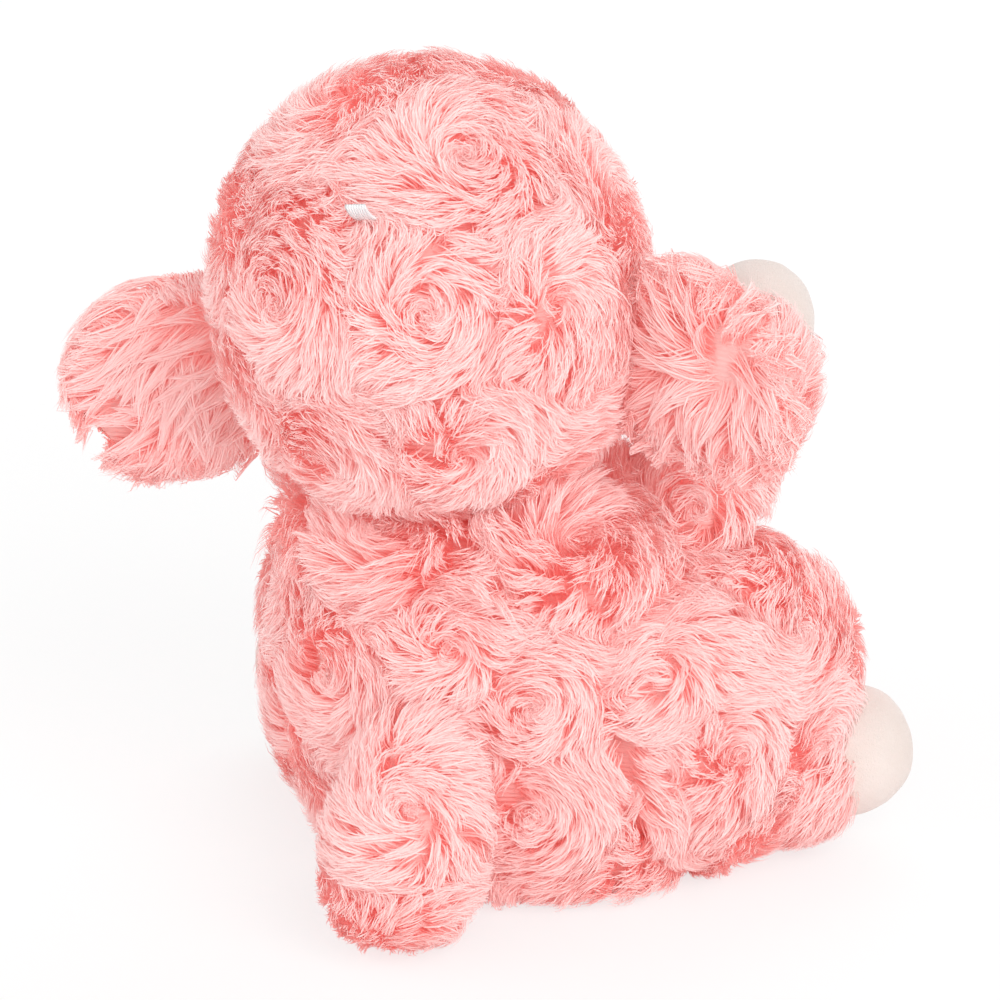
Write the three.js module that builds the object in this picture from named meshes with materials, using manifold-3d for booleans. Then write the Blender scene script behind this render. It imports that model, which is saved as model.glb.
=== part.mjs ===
// A plush lamb that sits up: swirl-pile covers over soft stuffing, with short-pile hooves and face.
// Millimetres, +Z up. The lamb faces -Y and its left side is +X.
// The origin is the middle of the flat seat, on the surface that the lamb sits on.

import * as THREE from "three";
import { mergeVertices } from "three/addons/utils/BufferGeometryUtils.js";
import Module from "manifold-3d";

const wasm = await Module();
wasm.setup();

// Fabrics and fits
const CLEARANCE = 0.3; // gap between neighbouring pieces
const PILE = 9; // long swirl-pile fabric, backing included
const PLUSH = 2.5; // short-pile fabric

// Body, a pear that leans back and a little to its left
const SEAT_WIDTH = 122;
const BELLY_WIDTH = 136;
const BELLY_DEPTH = 118;
const BELLY_HEIGHT = 40;
const CHEST_WIDTH = 116;
const CHEST_HEIGHT = 90;
const SHOULDER_WIDTH = 84;
const SHOULDER_HEIGHT = 107;
const BODY_HEIGHT = 118;
const LEAN_BACK = 9; // degrees
const LEAN_LEFT = 4; // degrees
const POUCH_WIDTH = 46; // bag of beans in the seat
const POUCH_HEIGHT = 16;

// Neck, a dome on the body in a dish under the head
const NECK_HEIGHT = 98;
const DOME_RADIUS = 38;
const NECK_HOLE = 22; // stuffing runs through it
const GUSSET_WIDTH = 58;
const GUSSET_THICKNESS = 1.6;

// Head, carried above the neck and tilted to its left
const HEAD_WIDTH = 122;
const HEAD_DEPTH = 118;
const HEAD_HEIGHT = 126;
const HEAD_RISE = 72; // head centre above the neck pivot
const HEAD_SETBACK = 9; // head centre behind the neck pivot
const HEAD_TILT = 8; // degrees
const CHEEKS = { rounding: 2.35 }; // of the head's lower half: 2 is an ellipse, and more is fuller
const LABEL_WIDTH = 6;
const LABEL_THICKNESS = 0.8;
const LABEL_LENGTH = 10;
const LABEL_TUCK = 6; // how much of the label is inside the seam
const LABEL_ANGLE = 31; // degrees above the middle of the back of the head
const LABEL_SIDE = 9; // to the right of the middle

// Face
const FACE_WIDTH = 64;
const FACE_DEPTH = 84;
const FACE_HEIGHT = 68;
const FACE_FORWARD = 38; // face centre in front of the head centre
const FACE_DROP = 9; // face centre below the head centre
const FACE_TUCK = 8; // how far the panel's rim runs in behind the head cover's front
const EYE_WIDTH = 11;
const EYE_DOME = 4;
const EYE_SHOULDER = { width: 0.46, height: 0.5 }; // shares of the eye's width and dome
const EYE_CROWN = { width: 0.3, height: 0.86 };
const EYE_STEM_WIDTH = 4;
const EYE_STEM_LENGTH = 10;
const EYE_GRIP = 5; // from the face's surface in to the washer
const EYE_SIDE = 40; // degrees from the middle of the face
const EYE_UP = 30; // degrees above the middle of the face
const WASHER_WIDTH = 12;
const WASHER_THICKNESS = 1.5;
const NOSE_WIDTH = 17;
const NOSE_HEIGHT = 11;
const NOSE_THICKNESS = 6;
const THREAD = 1.6; // embroidery thread of the mouth
const MOUTH_SIDE = 26; // degrees to each mouth corner
const MOUTH_DROP = 36; // degrees below the middle of the face
const MOUTH_CURVE = 10; // degrees that the corners turn up

// Ears
const EAR_LENGTH = 52;
const EAR_WIDTH = 52;
const EAR_THICKNESS = 13;
const EAR_BELLY = { length: 0.45 }; // widest place, as a share of the ear's length
const EAR_TIP = { width: 0.3, length: 0.86 }; // shares of the ear's width and length
const EAR_ROOT_WIDTH = 47;
const EAR_ROOT_THICKNESS = 9;
const EAR_DROP = 18; // ear root below the head centre
const EAR_DROOP = 18; // degrees below level
const EAR_SWEEP = 20; // degrees back from straight out
const EAR_STANDOFF = 4.5; // ear root's middle outside the head cover
const LINING_INSET = 5;
const LINING_SHIFT = 1; // the lining starts this far in front of the ear's middle

// Front legs
const FRONT_REACH = 92; // shoulder pivot to the tip of the hoof
const FRONT_ROOT = 34; // ball at the top of the leg, sewn to the side of the chest
const FRONT_WIDTH = 42;
const FRONT_CUFF = 40;
const FRONT_BELLY = { length: 0.55 }; // widest place, as a share of the sleeve
const FRONT_SLEEVE = 64; // shoulder pivot to the end of the sleeve
const LEFT_RAISE = 14; // degrees above level
const RIGHT_RAISE = 27; // degrees above level
const FRONT_TOE_IN = 6; // degrees towards the middle
const FRONT_HOOF_WIDTH = 34;
const SHOULDER_ANGLE = 26; // degrees forward of the side of the chest
const SHOULDER_PIVOT_HEIGHT = 105;
const SHOULDER_STANDOFF = 3; // shoulder pivot outside the chest's outline

// Hind legs
const HAUNCH_WIDTH = 98;
const HAUNCH_THICKNESS = 56;
const HAUNCH_FLAT = 10; // flat side against the body, inside the haunch's middle
const HAUNCH_TURN = 24; // degrees that the haunch faces back from the side
const HIP_ANGLE = 16; // degrees forward of the side of the belly
const HIP_SINK = 11; // haunch centre inside the belly's outline
const HIP_SHIFT = 4; // both haunches sit this far to the right, as the lamb leans to its left
const HIND_SPLAY = 43; // degrees out from straight ahead
const HIND_RAISE = 8; // degrees above level
const HIND_REACH = 62; // haunch centre to the tip of the hoof
const HIND_SLEEVE = 40; // haunch centre to the end of the sleeve
const HIND_WIDTH = 42;
const HIND_CUFF = 39;
const HIND_BELLY = { length: 0.45 }; // widest place, as a share of the sleeve
const HIND_HOOF_WIDTH = 38;

// Hooves
const HOOF_TUCK = 12; // how far a hoof runs in behind the end of its sleeve
const HOOF_REAR = { width: 0.45 }; // share of the hoof's width
const HOOF_SIDE = { rounding: 0.42 }; // straight side to the tip, as a share of the width
const HOOF_TOE = { width: 0.34, rounding: 0.11 }; // toe to the tip, as shares of the width

// Tail
const TAIL_LENGTH = 54;
const TAIL_WIDTH = 46;
const TAIL_ROOT = 34;
const TAIL_BELLY = { length: 0.45 }; // widest place, as a share of the tail's length
const TAIL_TIP = { width: 0.4, length: 0.82 }; // shares of the tail's width and length
const TAIL_HEIGHT = 50;
const TAIL_SHIFT = 3; // to the right, as the lamb leans to its left
const TAIL_ANGLE = 26; // degrees out from hanging straight down
const TAIL_HOLE = 8;

// Facets and fullness of the round forms
const CUSHION = { rounding: 2.5 }; // 2 is an ellipse, and more is a fuller rim
const SIDES = { bulk: 18, limb: 12, inner: 10, trim: 10, neck: 36 };
const STEPS = { bulk: 10, limb: 8, inner: 6, trim: 6, neck: 20 };

const rad = THREE.MathUtils.degToRad;
const UP = new THREE.Vector3(0, 0, 1);
const FAR = 400; // longer than the lamb, for cuts that pass right through

// Closed solid from a closed geometry, carried through the given frames, the innermost first
function solid(geometry, ...frames) {
  const bare = geometry.clone();
  bare.deleteAttribute("normal");
  bare.deleteAttribute("uv");
  for (const frame of frames) {
    frame.updateMatrix();
    bare.applyMatrix4(frame.matrix);
  }
  const merged = mergeVertices(bare, 1e-4);
  const corners = [];
  const index = merged.index.array;
  for (let i = 0; i < index.length; i += 3) {
    const [a, b, c] = [index[i], index[i + 1], index[i + 2]];
    const flat = a === b || b === c || c === a; // left at a lathe's poles
    if (!flat) corners.push(a, b, c);
  }
  const vertProperties = new Float32Array(merged.attributes.position.array);
  const triVerts = new Uint32Array(corners);
  return new wasm.Manifold(new wasm.Mesh({ numProp: 3, vertProperties, triVerts }));
}

// Named mesh of a finished solid
function piece(name, form, finish) {
  const { vertProperties, triVerts } = form.getMesh();
  const geometry = new THREE.BufferGeometry();
  geometry.setAttribute("position", new THREE.BufferAttribute(new Float32Array(vertProperties), 3));
  geometry.setIndex(new THREE.BufferAttribute(new Uint32Array(triVerts), 1));
  geometry.computeVertexNormals();
  const mesh = new THREE.Mesh(geometry, finish);
  mesh.name = name;
  return mesh;
}

// Smooth round form about +Z through [radius, height] points that end on the axis.
// The first point lies on the axis too, or at height 0 on the rim of a half ball that closes the form.
function plump(points, size) {
  const ends = points.map(([radius, height]) => new THREE.Vector3(radius, height, 0));
  const curve = new THREE.CatmullRomCurve3(ends, false, "centripetal");
  const outline = curve.getPoints(STEPS[size]).map((p) => new THREE.Vector2(Math.max(p.x, 0), p.y));
  const root = points[0][0];
  if (root > 0) {
    const half = new THREE.EllipseCurve(0, 0, root, root, -Math.PI / 2, 0);
    outline.unshift(...half.getPoints(STEPS.trim).slice(0, -1));
  }
  outline[0].x = 0;
  outline[outline.length - 1].x = 0;
  return new THREE.LatheGeometry(outline, SIDES[size]).rotateX(Math.PI / 2);
}

// Straight-sided form about +Z through [radius, height] points
function turned(points, size) {
  const outline = points.map(([radius, height]) => new THREE.Vector2(radius, height));
  return new THREE.LatheGeometry(outline, SIDES[size]).rotateX(Math.PI / 2);
}

// Rod about +Z from one height to another
function rod(radius, from, to, size = "trim") {
  return turned([[0, from], [radius, from], [radius, to], [0, to]], size);
}

function ball(radius, size = "bulk") {
  return new THREE.SphereGeometry(radius, SIDES[size], STEPS[size]);
}

// Ellipsoid with the given full sizes, each shrunk by a wall on both sides
function egg(width, depth, height, wall, size) {
  return ball(1, size).scale(width / 2 - wall, depth / 2 - wall, height / 2 - wall);
}

// Share of the head's width at a height that is a share of its half height
function cheekShare(height) {
  const rounding = height < 0 ? CHEEKS.rounding : 2;
  return (1 - Math.min(Math.abs(height), 1) ** rounding) ** (1 / rounding);
}

// Head form, an ellipsoid with a fuller lower half, shrunk by a wall
function skullForm(wall, size) {
  const outline = [];
  for (let step = 0; step <= STEPS[size]; step += 1) {
    const height = Math.sin(Math.PI * (step / STEPS[size] - 0.5));
    outline.push(new THREE.Vector2(cheekShare(height), height));
  }
  const round = new THREE.LatheGeometry(outline, SIDES[size]).rotateX(Math.PI / 2);
  return round.scale(HEAD_WIDTH / 2 - wall, HEAD_DEPTH / 2 - wall, HEAD_HEIGHT / 2 - wall);
}

// Radius of a faceted dish in which a faceted ball of the given radius turns freely
function around(radius, size = "bulk") {
  return (radius + CLEARANCE) / (Math.cos(Math.PI / SIDES[size]) * Math.cos(Math.PI / (2 * STEPS[size])));
}

// Round cushion about the X axis: a disc with a full, rounded rim, grown by a gap or shrunk by its negative.
// A gap also clears the corners of the facets when the cushion turns about its axis.
function cushion(width, thickness, gap, size = "bulk") {
  const fullness = 2 / CUSHION.rounding;
  const rim = gap > 0 ? 1 / Math.cos(Math.PI / SIDES[size]) : 1;
  const outline = [];
  for (let step = 0; step <= STEPS[size]; step += 1) {
    const angle = Math.PI * (step / STEPS[size] - 0.5);
    const out = Math.cos(angle) ** fullness * (width / 2 + gap) * rim;
    const along = Math.sign(Math.sin(angle)) * Math.abs(Math.sin(angle)) ** fullness * (thickness / 2 + gap);
    outline.push(new THREE.Vector2(Math.max(out, 0), along));
  }
  outline[0].x = 0;
  outline[outline.length - 1].x = 0;
  return new THREE.LatheGeometry(outline, SIDES[size]).rotateZ(-Math.PI / 2);
}

// Frame at a place, turned so that its +Z points along a direction
function aimed(place, direction = UP) {
  const frame = new THREE.Group();
  frame.position.copy(place);
  frame.quaternion.setFromUnitVectors(UP, direction.clone().normalize());
  return frame;
}

// Where a point of the upright body ends up when the body leans
function leaned(x, y, z) {
  return new THREE.Vector3(x + z * Math.tan(rad(LEAN_LEFT)), y + z * Math.tan(rad(LEAN_BACK)), z);
}

// Finishes
const pink = new THREE.MeshStandardMaterial({ color: 0xf7b3ae, roughness: 0.95, metalness: 0 });
const cream = new THREE.MeshStandardMaterial({ color: 0xf1e6dd, roughness: 0.9, metalness: 0 });
const stuffing = new THREE.MeshStandardMaterial({ color: 0xf6f5f2, roughness: 1, metalness: 0 });
const canvas = new THREE.MeshStandardMaterial({ color: 0xe9e2d2, roughness: 0.95, metalness: 0 });
const satin = new THREE.MeshStandardMaterial({ color: 0xfafafa, roughness: 0.5, metalness: 0 });
const thread = new THREE.MeshStandardMaterial({ color: 0xe8897f, roughness: 0.7, metalness: 0 });
const eyeBlack = new THREE.MeshStandardMaterial({ color: 0x15110f, roughness: 0.15, metalness: 0 });
const clearPlastic = new THREE.MeshStandardMaterial({ color: 0xe6e6e2, roughness: 0.5, metalness: 0 });

// Places on the body that the other pieces are set from
const CHEST_DEPTH = CHEST_WIDTH * (BELLY_DEPTH / BELLY_WIDTH);
const neck = leaned(0, 0, NECK_HEIGHT);
const gussetInside = around(DOME_RADIUS, "neck");
const dishRadius = around(gussetInside + GUSSET_THICKNESS, "neck");

const neckFrame = aimed(neck);
const headFrame = aimed(neck);
headFrame.rotation.y = rad(HEAD_TILT);
const headCentre = new THREE.Vector3(0, HEAD_SETBACK, HEAD_RISE);

function shoulderFrame(side) {
  const angle = rad(SHOULDER_ANGLE);
  const x = side * Math.cos(angle) * (CHEST_WIDTH / 2 + SHOULDER_STANDOFF);
  const y = -Math.sin(angle) * (CHEST_DEPTH / 2 + SHOULDER_STANDOFF);
  const raise = rad(side > 0 ? LEFT_RAISE : RIGHT_RAISE);
  const across = -side * Math.cos(raise) * Math.sin(rad(FRONT_TOE_IN));
  const ahead = -Math.cos(raise) * Math.cos(rad(FRONT_TOE_IN));
  const direction = new THREE.Vector3(across, ahead, Math.sin(raise));
  return aimed(leaned(x, y, SHOULDER_PIVOT_HEIGHT), direction);
}

function hipFrame(side) {
  const angle = rad(HIP_ANGLE);
  const x = side * Math.cos(angle) * (BELLY_WIDTH / 2 - HIP_SINK) - HIP_SHIFT;
  const y = -Math.sin(angle) * (BELLY_DEPTH / 2 - HIP_SINK);
  const frame = aimed(leaned(x, y, HAUNCH_WIDTH / 2));
  frame.rotation.z = side * rad(HAUNCH_TURN);
  return frame;
}

function tailFrame() {
  const direction = new THREE.Vector3(0, Math.sin(rad(TAIL_ANGLE)), -Math.cos(rad(TAIL_ANGLE)));
  return aimed(leaned(-TAIL_SHIFT, BELLY_DEPTH / 2, TAIL_HEIGHT), direction);
}

// Everything below a height above the surface that the lamb sits on, as seen from inside a frame
function below(height, frame) {
  const block = new THREE.BoxGeometry(FAR, FAR, FAR).translate(0, 0, height - FAR / 2);
  frame.updateMatrix();
  return solid(block.applyMatrix4(frame.matrix.clone().invert()));
}

// Body form, shrunk by a wall
function bodyForm(wall) {
  const size = wall > 0 ? "inner" : "bulk";
  const side = [
    [SEAT_WIDTH / 2 - wall, wall],
    [BELLY_WIDTH / 2 - wall, BELLY_HEIGHT],
    [CHEST_WIDTH / 2 - wall, CHEST_HEIGHT],
    [SHOULDER_WIDTH / 2 - wall, SHOULDER_HEIGHT - wall],
    [0, BODY_HEIGHT - wall],
  ].map(([radius, height]) => new THREE.Vector3(radius, height, 0));
  const curve = new THREE.CatmullRomCurve3(side, false, "centripetal");
  const outline = [new THREE.Vector2(0, wall)];
  for (const p of curve.getPoints(STEPS[size])) outline.push(new THREE.Vector2(Math.max(p.x, 0), p.y));
  const geometry = new THREE.LatheGeometry(outline, SIDES[size]).rotateX(Math.PI / 2);
  geometry.scale(1, BELLY_DEPTH / BELLY_WIDTH, 1);
  const lean = new THREE.Matrix4();
  lean.makeShear(0, 0, 0, 0, Math.tan(rad(LEAN_LEFT)), Math.tan(rad(LEAN_BACK)));
  geometry.applyMatrix4(lean);
  return solid(geometry).add(solid(ball(DOME_RADIUS - wall, wall > 0 ? "inner" : "neck"), neckFrame));
}

// Everything past a haunch's flat side, towards the body
function innerSide(side, gap) {
  const middle = -side * (HAUNCH_FLAT + gap + FAR / 2);
  return new THREE.BoxGeometry(FAR, FAR, FAR).translate(middle, 0, 0);
}

// The form with the dents that the legs and the tail press into it, grown by a gap
function withoutLimbs(form, gap, size) {
  const socket = (width) => ball(around(width / 2 + gap - CLEARANCE, size), size);
  let cut = form;
  for (const side of [1, -1]) {
    const round = solid(cushion(HAUNCH_WIDTH, HAUNCH_THICKNESS, gap, size), hipFrame(side));
    cut = cut.subtract(round.subtract(solid(innerSide(side, gap), hipFrame(side))));
    cut = cut.subtract(solid(socket(FRONT_ROOT), shoulderFrame(side)));
    cut = cut.subtract(solid(frontForm(-gap), shoulderFrame(side)));
  }
  return cut.subtract(solid(socket(TAIL_ROOT), tailFrame())).subtract(solid(tailForm(-gap), tailFrame()));
}

function body() {
  const group = new THREE.Group();
  const neckBore = solid(rod(NECK_HOLE / 2, 0, FAR, "inner"), neckFrame);
  const room = withoutLimbs(bodyForm(PILE), CLEARANCE + PILE, "inner");
  const cover = withoutLimbs(bodyForm(0), CLEARANCE, "bulk").subtract(room).subtract(neckBore);

  const floor = PILE + CLEARANCE;
  const bulge = POUCH_HEIGHT / 2;
  const pouch = (gap) =>
    solid(turned([
      [0, floor - gap],
      [POUCH_WIDTH / 2 - bulge + gap, floor - gap],
      [POUCH_WIDTH / 2 + gap, floor + bulge],
      [POUCH_WIDTH / 2 - bulge + gap, floor + POUCH_HEIGHT + gap],
      [0, floor + POUCH_HEIGHT + gap],
    ], "inner"));
  let fill = withoutLimbs(bodyForm(PILE + CLEARANCE), PILE + 2 * CLEARANCE, "inner");
  fill = fill.subtract(pouch(CLEARANCE));

  group.add(piece("body_cover", cover, pink));
  group.add(piece("body_stuffing", fill, stuffing));
  group.add(piece("seat_bean_pouch", pouch(0), canvas));
  return group;
}

// Ring of fabric between the body's dome and the dish under the head
function neckGusset() {
  const outside = gussetInside + GUSSET_THICKNESS;
  const from = Math.PI / 2 - Math.asin(GUSSET_WIDTH / 2 / outside);
  const to = Math.PI / 2 - Math.asin((NECK_HOLE / 2 + CLEARANCE) / gussetInside);
  const arc = (radius, start, end) => {
    const curve = new THREE.EllipseCurve(0, 0, radius, radius, start, end, end < start);
    return curve.getPoints(STEPS.trim);
  };
  const outline = [...arc(outside, from, to), ...arc(gussetInside, to, from)];
  outline.push(outline[0].clone());
  const ring = new THREE.LatheGeometry(outline, SIDES.neck).rotateX(Math.PI / 2);
  const group = new THREE.Group();
  group.position.copy(neck);
  group.add(piece("neck_gusset", solid(ring), pink));
  return group;
}

// Place on the face at angles from its middle, with the face grown by a gap
function facePoint(sideways, upwards, gap) {
  const across = Math.sin(rad(sideways)) * Math.cos(rad(upwards)) * (FACE_WIDTH / 2 + gap);
  const forward = Math.cos(rad(sideways)) * Math.cos(rad(upwards)) * (FACE_DEPTH / 2 + gap);
  const rise = Math.sin(rad(upwards)) * (FACE_HEIGHT / 2 + gap);
  return new THREE.Vector3(across, -forward, rise);
}

function eyeFrame(side, faceCentre) {
  const place = facePoint(side * EYE_SIDE, EYE_UP, 0);
  const outward = new THREE.Vector3(
    place.x / (FACE_WIDTH / 2) ** 2,
    place.y / (FACE_DEPTH / 2) ** 2,
    place.z / (FACE_HEIGHT / 2) ** 2,
  );
  return aimed(place.add(faceCentre), outward);
}

// Frame of an ear's root on the side of the head, with +Z out along the ear and +Y towards the back
function earFrame(side) {
  const across = (HEAD_WIDTH / 2) * cheekShare(-EAR_DROP / (HEAD_HEIGHT / 2)) + EAR_STANDOFF;
  const frame = aimed(new THREE.Vector3(side * across, 0, -EAR_DROP).add(headCentre));
  frame.rotation.set(0, side * rad(90 + EAR_DROOP), side * rad(EAR_SWEEP), "ZYX");
  return frame;
}

// Rolled edge along which an ear is sewn on, about the X axis
function earRoot(radius, gap) {
  const half = EAR_ROOT_WIDTH / 2 + gap;
  return rod(radius, -half, half).rotateY(Math.PI / 2);
}

// Label on the middle of the back of the head, pointing out of its seam, grown by a gap
function labelForm(gap) {
  const rise = rad(LABEL_ANGLE);
  const back = (Math.cos(rise) * HEAD_DEPTH) / 2;
  const place = new THREE.Vector3(-LABEL_SIDE, back, (Math.sin(rise) * HEAD_HEIGHT) / 2);
  const frame = aimed(place.add(headCentre), new THREE.Vector3(0, Math.cos(rise), Math.sin(rise)));
  const box = new THREE.BoxGeometry(LABEL_WIDTH + 2 * gap, LABEL_THICKNESS + 2 * gap, LABEL_LENGTH + 2 * gap);
  return solid(box.translate(0, 0, LABEL_LENGTH / 2 - LABEL_TUCK), frame);
}

function head() {
  const group = new THREE.Group();
  group.position.copy(headFrame.position);
  group.rotation.copy(headFrame.rotation);

  const headAt = aimed(headCentre);
  const faceCentre = headCentre.clone().add(new THREE.Vector3(0, -FACE_FORWARD, -FACE_DROP));
  const faceAt = aimed(faceCentre);
  const skull = (wall, size) => solid(skullForm(wall, size), headAt);
  const face = (wall) => solid(egg(FACE_WIDTH, FACE_DEPTH, FACE_HEIGHT, wall, "limb"), faceAt);
  const dish = (gap, size) => solid(ball(dishRadius + gap, size));
  const behind = (y) => solid(new THREE.BoxGeometry(FAR, FAR, FAR).translate(0, y + FAR / 2, 0));
  const rimY = headCentre.y - HEAD_DEPTH / 2 + FACE_TUCK;

  const room = skull(PILE, "inner").subtract(dish(PILE, "inner"));
  const neckBore = solid(rod(NECK_HOLE / 2, 0, HEAD_RISE, "inner"));
  let cover = skull(0, "bulk").subtract(dish(0, "neck")).subtract(room).subtract(neckBore);
  cover = cover.subtract(face(-CLEARANCE)).subtract(labelForm(CLEARANCE));

  let panel = face(0).subtract(face(PLUSH)).subtract(behind(rimY));
  const panelRoom = face(-CLEARANCE).subtract(behind(rimY + CLEARANCE));
  let fill = skull(PILE + CLEARANCE, "inner").subtract(panelRoom).add(face(PLUSH + CLEARANCE));
  fill = fill.subtract(dish(PILE + CLEARANCE, "inner"));

  const stem = EYE_STEM_WIDTH / 2;
  for (const [side, word] of [[1, "left"], [-1, "right"]]) {
    const at = eyeFrame(side, faceCentre);
    const eye = turned([
      [0, -EYE_STEM_LENGTH],
      [stem, -EYE_STEM_LENGTH],
      [stem, CLEARANCE],
      [EYE_WIDTH / 2, CLEARANCE],
      [EYE_WIDTH * EYE_SHOULDER.width, EYE_DOME * EYE_SHOULDER.height],
      [EYE_WIDTH * EYE_CROWN.width, EYE_DOME * EYE_CROWN.height],
      [0, EYE_DOME],
    ], "inner");
    const washer = turned([
      [stem + CLEARANCE, -EYE_GRIP - WASHER_THICKNESS],
      [WASHER_WIDTH / 2, -EYE_GRIP - WASHER_THICKNESS],
      [WASHER_WIDTH / 2, -EYE_GRIP],
      [stem + CLEARANCE, -EYE_GRIP],
      [stem + CLEARANCE, -EYE_GRIP - WASHER_THICKNESS],
    ], "inner");
    const pocket = rod(WASHER_WIDTH / 2 + CLEARANCE, -EYE_STEM_LENGTH - CLEARANCE, 0, "inner");
    panel = panel.subtract(solid(rod(stem + CLEARANCE, -EYE_STEM_LENGTH, EYE_DOME, "inner"), at));
    fill = fill.subtract(solid(pocket, at));
    const earSeat = earRoot(around(EAR_ROOT_THICKNESS / 2, "trim"), CLEARANCE);
    cover = cover.subtract(solid(earSeat, earFrame(side)));
    group.add(piece(`${word}_eye`, solid(eye, at), eyeBlack));
    group.add(piece(`${word}_eye_washer`, solid(washer, at), clearPlastic));
    group.add(ear(side, word));
  }

  const noseAt = aimed(facePoint(0, 0, 0).add(faceCentre));
  const nosePad = solid(egg(NOSE_WIDTH, NOSE_THICKNESS, NOSE_HEIGHT, 0, "trim"), noseAt);

  group.add(piece("head_cover", cover, pink));
  group.add(piece("head_stuffing", fill, stuffing));
  group.add(piece("face_panel", panel, cream));
  group.add(piece("nose", nosePad.subtract(face(-CLEARANCE)), thread));
  group.add(piece("mouth_stitch", mouth(faceAt), thread));
  group.add(piece("head_label", labelForm(0), satin));
  return group;
}

// Thread that runs down from the nose and along the smile, just proud of the face
function mouth(faceAt) {
  const gap = CLEARANCE + THREAD / 2;
  const section = new THREE.Shape().absarc(0, 0, THREAD / 2, 0, 2 * Math.PI);
  const tube = (points) => {
    const extrudePath = new THREE.CatmullRomCurve3(points);
    const options = { extrudePath, steps: STEPS.inner, curveSegments: STEPS.trim / 2 };
    return solid(new THREE.ExtrudeGeometry(section, options), faceAt);
  };
  const top = THREE.MathUtils.radToDeg(Math.asin(NOSE_HEIGHT / FACE_HEIGHT)) + THREAD;
  const smile = [];
  const line = [];
  for (const share of [-1, -0.5, 0, 0.5, 1]) {
    smile.push(facePoint(share * MOUTH_SIDE, -MOUTH_DROP + MOUTH_CURVE * share ** 2, gap));
    line.push(facePoint(0, -top - ((share + 1) / 2) * (MOUTH_DROP - top), gap));
  }
  return tube(smile).add(tube(line));
}

function ear(side, word) {
  const group = earFrame(side);
  const leaf = (points) => solid(plump(points, "limb").scale(1, EAR_THICKNESS / EAR_WIDTH, 1));
  const block = (y) => solid(new THREE.BoxGeometry(FAR, FAR, FAR).translate(0, y, 0));
  const outline = [
    [0, -EAR_ROOT_THICKNESS / 3],
    [EAR_ROOT_WIDTH / 2, 0],
    [EAR_WIDTH / 2, EAR_LENGTH * EAR_BELLY.length],
    [EAR_WIDTH * EAR_TIP.width, EAR_LENGTH * EAR_TIP.length],
    [0, EAR_LENGTH],
  ];
  const liningOutline = [
    [0, EAR_ROOT_THICKNESS],
    [EAR_WIDTH / 2 - LINING_INSET, EAR_LENGTH * EAR_BELLY.length],
    [EAR_WIDTH * EAR_TIP.width - LINING_INSET, EAR_LENGTH * EAR_TIP.length - LINING_INSET / 2],
    [0, EAR_LENGTH - LINING_INSET],
  ];
  const back = leaf(outline).subtract(block(-FAR / 2 - LINING_SHIFT));
  const lining = leaf(liningOutline).subtract(block(FAR / 2 - LINING_SHIFT - CLEARANCE));
  group.add(piece(`${word}_ear_back`, back.add(solid(earRoot(EAR_ROOT_THICKNESS / 2, 0))), pink));
  group.add(piece(`${word}_ear_lining`, lining, cream));
  return group;
}

// Hoof along +Z from behind the end of its sleeve to its tip, shrunk by a wall.
// A longer tuck reaches further back into the leg.
function hoofForm(width, sleeve, reach, wall, tuck) {
  const girth = width / 2 - wall;
  const shrink = girth / (width / 2);
  return plump([
    [0, sleeve - tuck - CLEARANCE],
    [width * HOOF_REAR.width * shrink, sleeve - tuck],
    [girth, sleeve],
    [girth, reach - width * HOOF_SIDE.rounding],
    [width * HOOF_TOE.width * shrink, reach - width * HOOF_TOE.rounding - wall],
    [0, reach - wall],
  ], "limb");
}

// Sleeve, hoof and stuffing of a leg: its pink form, shrunk by a wall, and its hoof, aimed along the sleeve
function leg(word, form, hoof, aim) {
  const group = new THREE.Group();
  const hoofSolid = (wall, tuck) => solid(hoofForm(hoof.width, hoof.sleeve, hoof.reach, wall, tuck), aim);
  const openEnd = solid(rod(hoof.width, -FAR, hoof.sleeve - HOOF_TUCK + CLEARANCE), aim);
  const shell = hoofSolid(0, HOOF_TUCK).subtract(hoofSolid(PLUSH, 2 * HOOF_TUCK)).subtract(openEnd);
  const hole = hoofSolid(-CLEARANCE, HOOF_TUCK);
  const cover = form(0).subtract(form(PILE)).subtract(hole);
  const core = (tuck) => hoofSolid(PLUSH + CLEARANCE, tuck);
  const hoofWall = hole.subtract(core(2 * HOOF_TUCK));
  const fill = form(PILE + CLEARANCE).subtract(hoofWall).add(core(HOOF_TUCK));
  group.add(piece(`${word}_leg_cover`, cover, pink));
  group.add(piece(`${word}_leg_stuffing`, fill, stuffing));
  group.add(piece(`${word}_hoof`, shell, cream));
  return group;
}

// Sleeve of a front leg along +Z from the ball at its shoulder, shrunk by a wall
function frontForm(wall) {
  return plump([
    [FRONT_ROOT / 2 - wall, 0],
    [FRONT_WIDTH / 2 - wall, FRONT_SLEEVE * FRONT_BELLY.length],
    [FRONT_CUFF / 2 - wall, FRONT_SLEEVE - PILE / 3],
    [0, FRONT_SLEEVE - wall / 3],
  ], wall > 0 ? "inner" : "limb");
}

function frontLeg(side, word) {
  const frame = shoulderFrame(side);
  const form = (wall) => solid(frontForm(wall)).subtract(below(HAUNCH_WIDTH + CLEARANCE + wall, frame));
  const hoof = { width: FRONT_HOOF_WIDTH, sleeve: FRONT_SLEEVE, reach: FRONT_REACH };
  const group = leg(`${word}_front`, form, hoof, new THREE.Group());
  group.position.copy(frame.position);
  group.quaternion.copy(frame.quaternion);
  return group;
}

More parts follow.
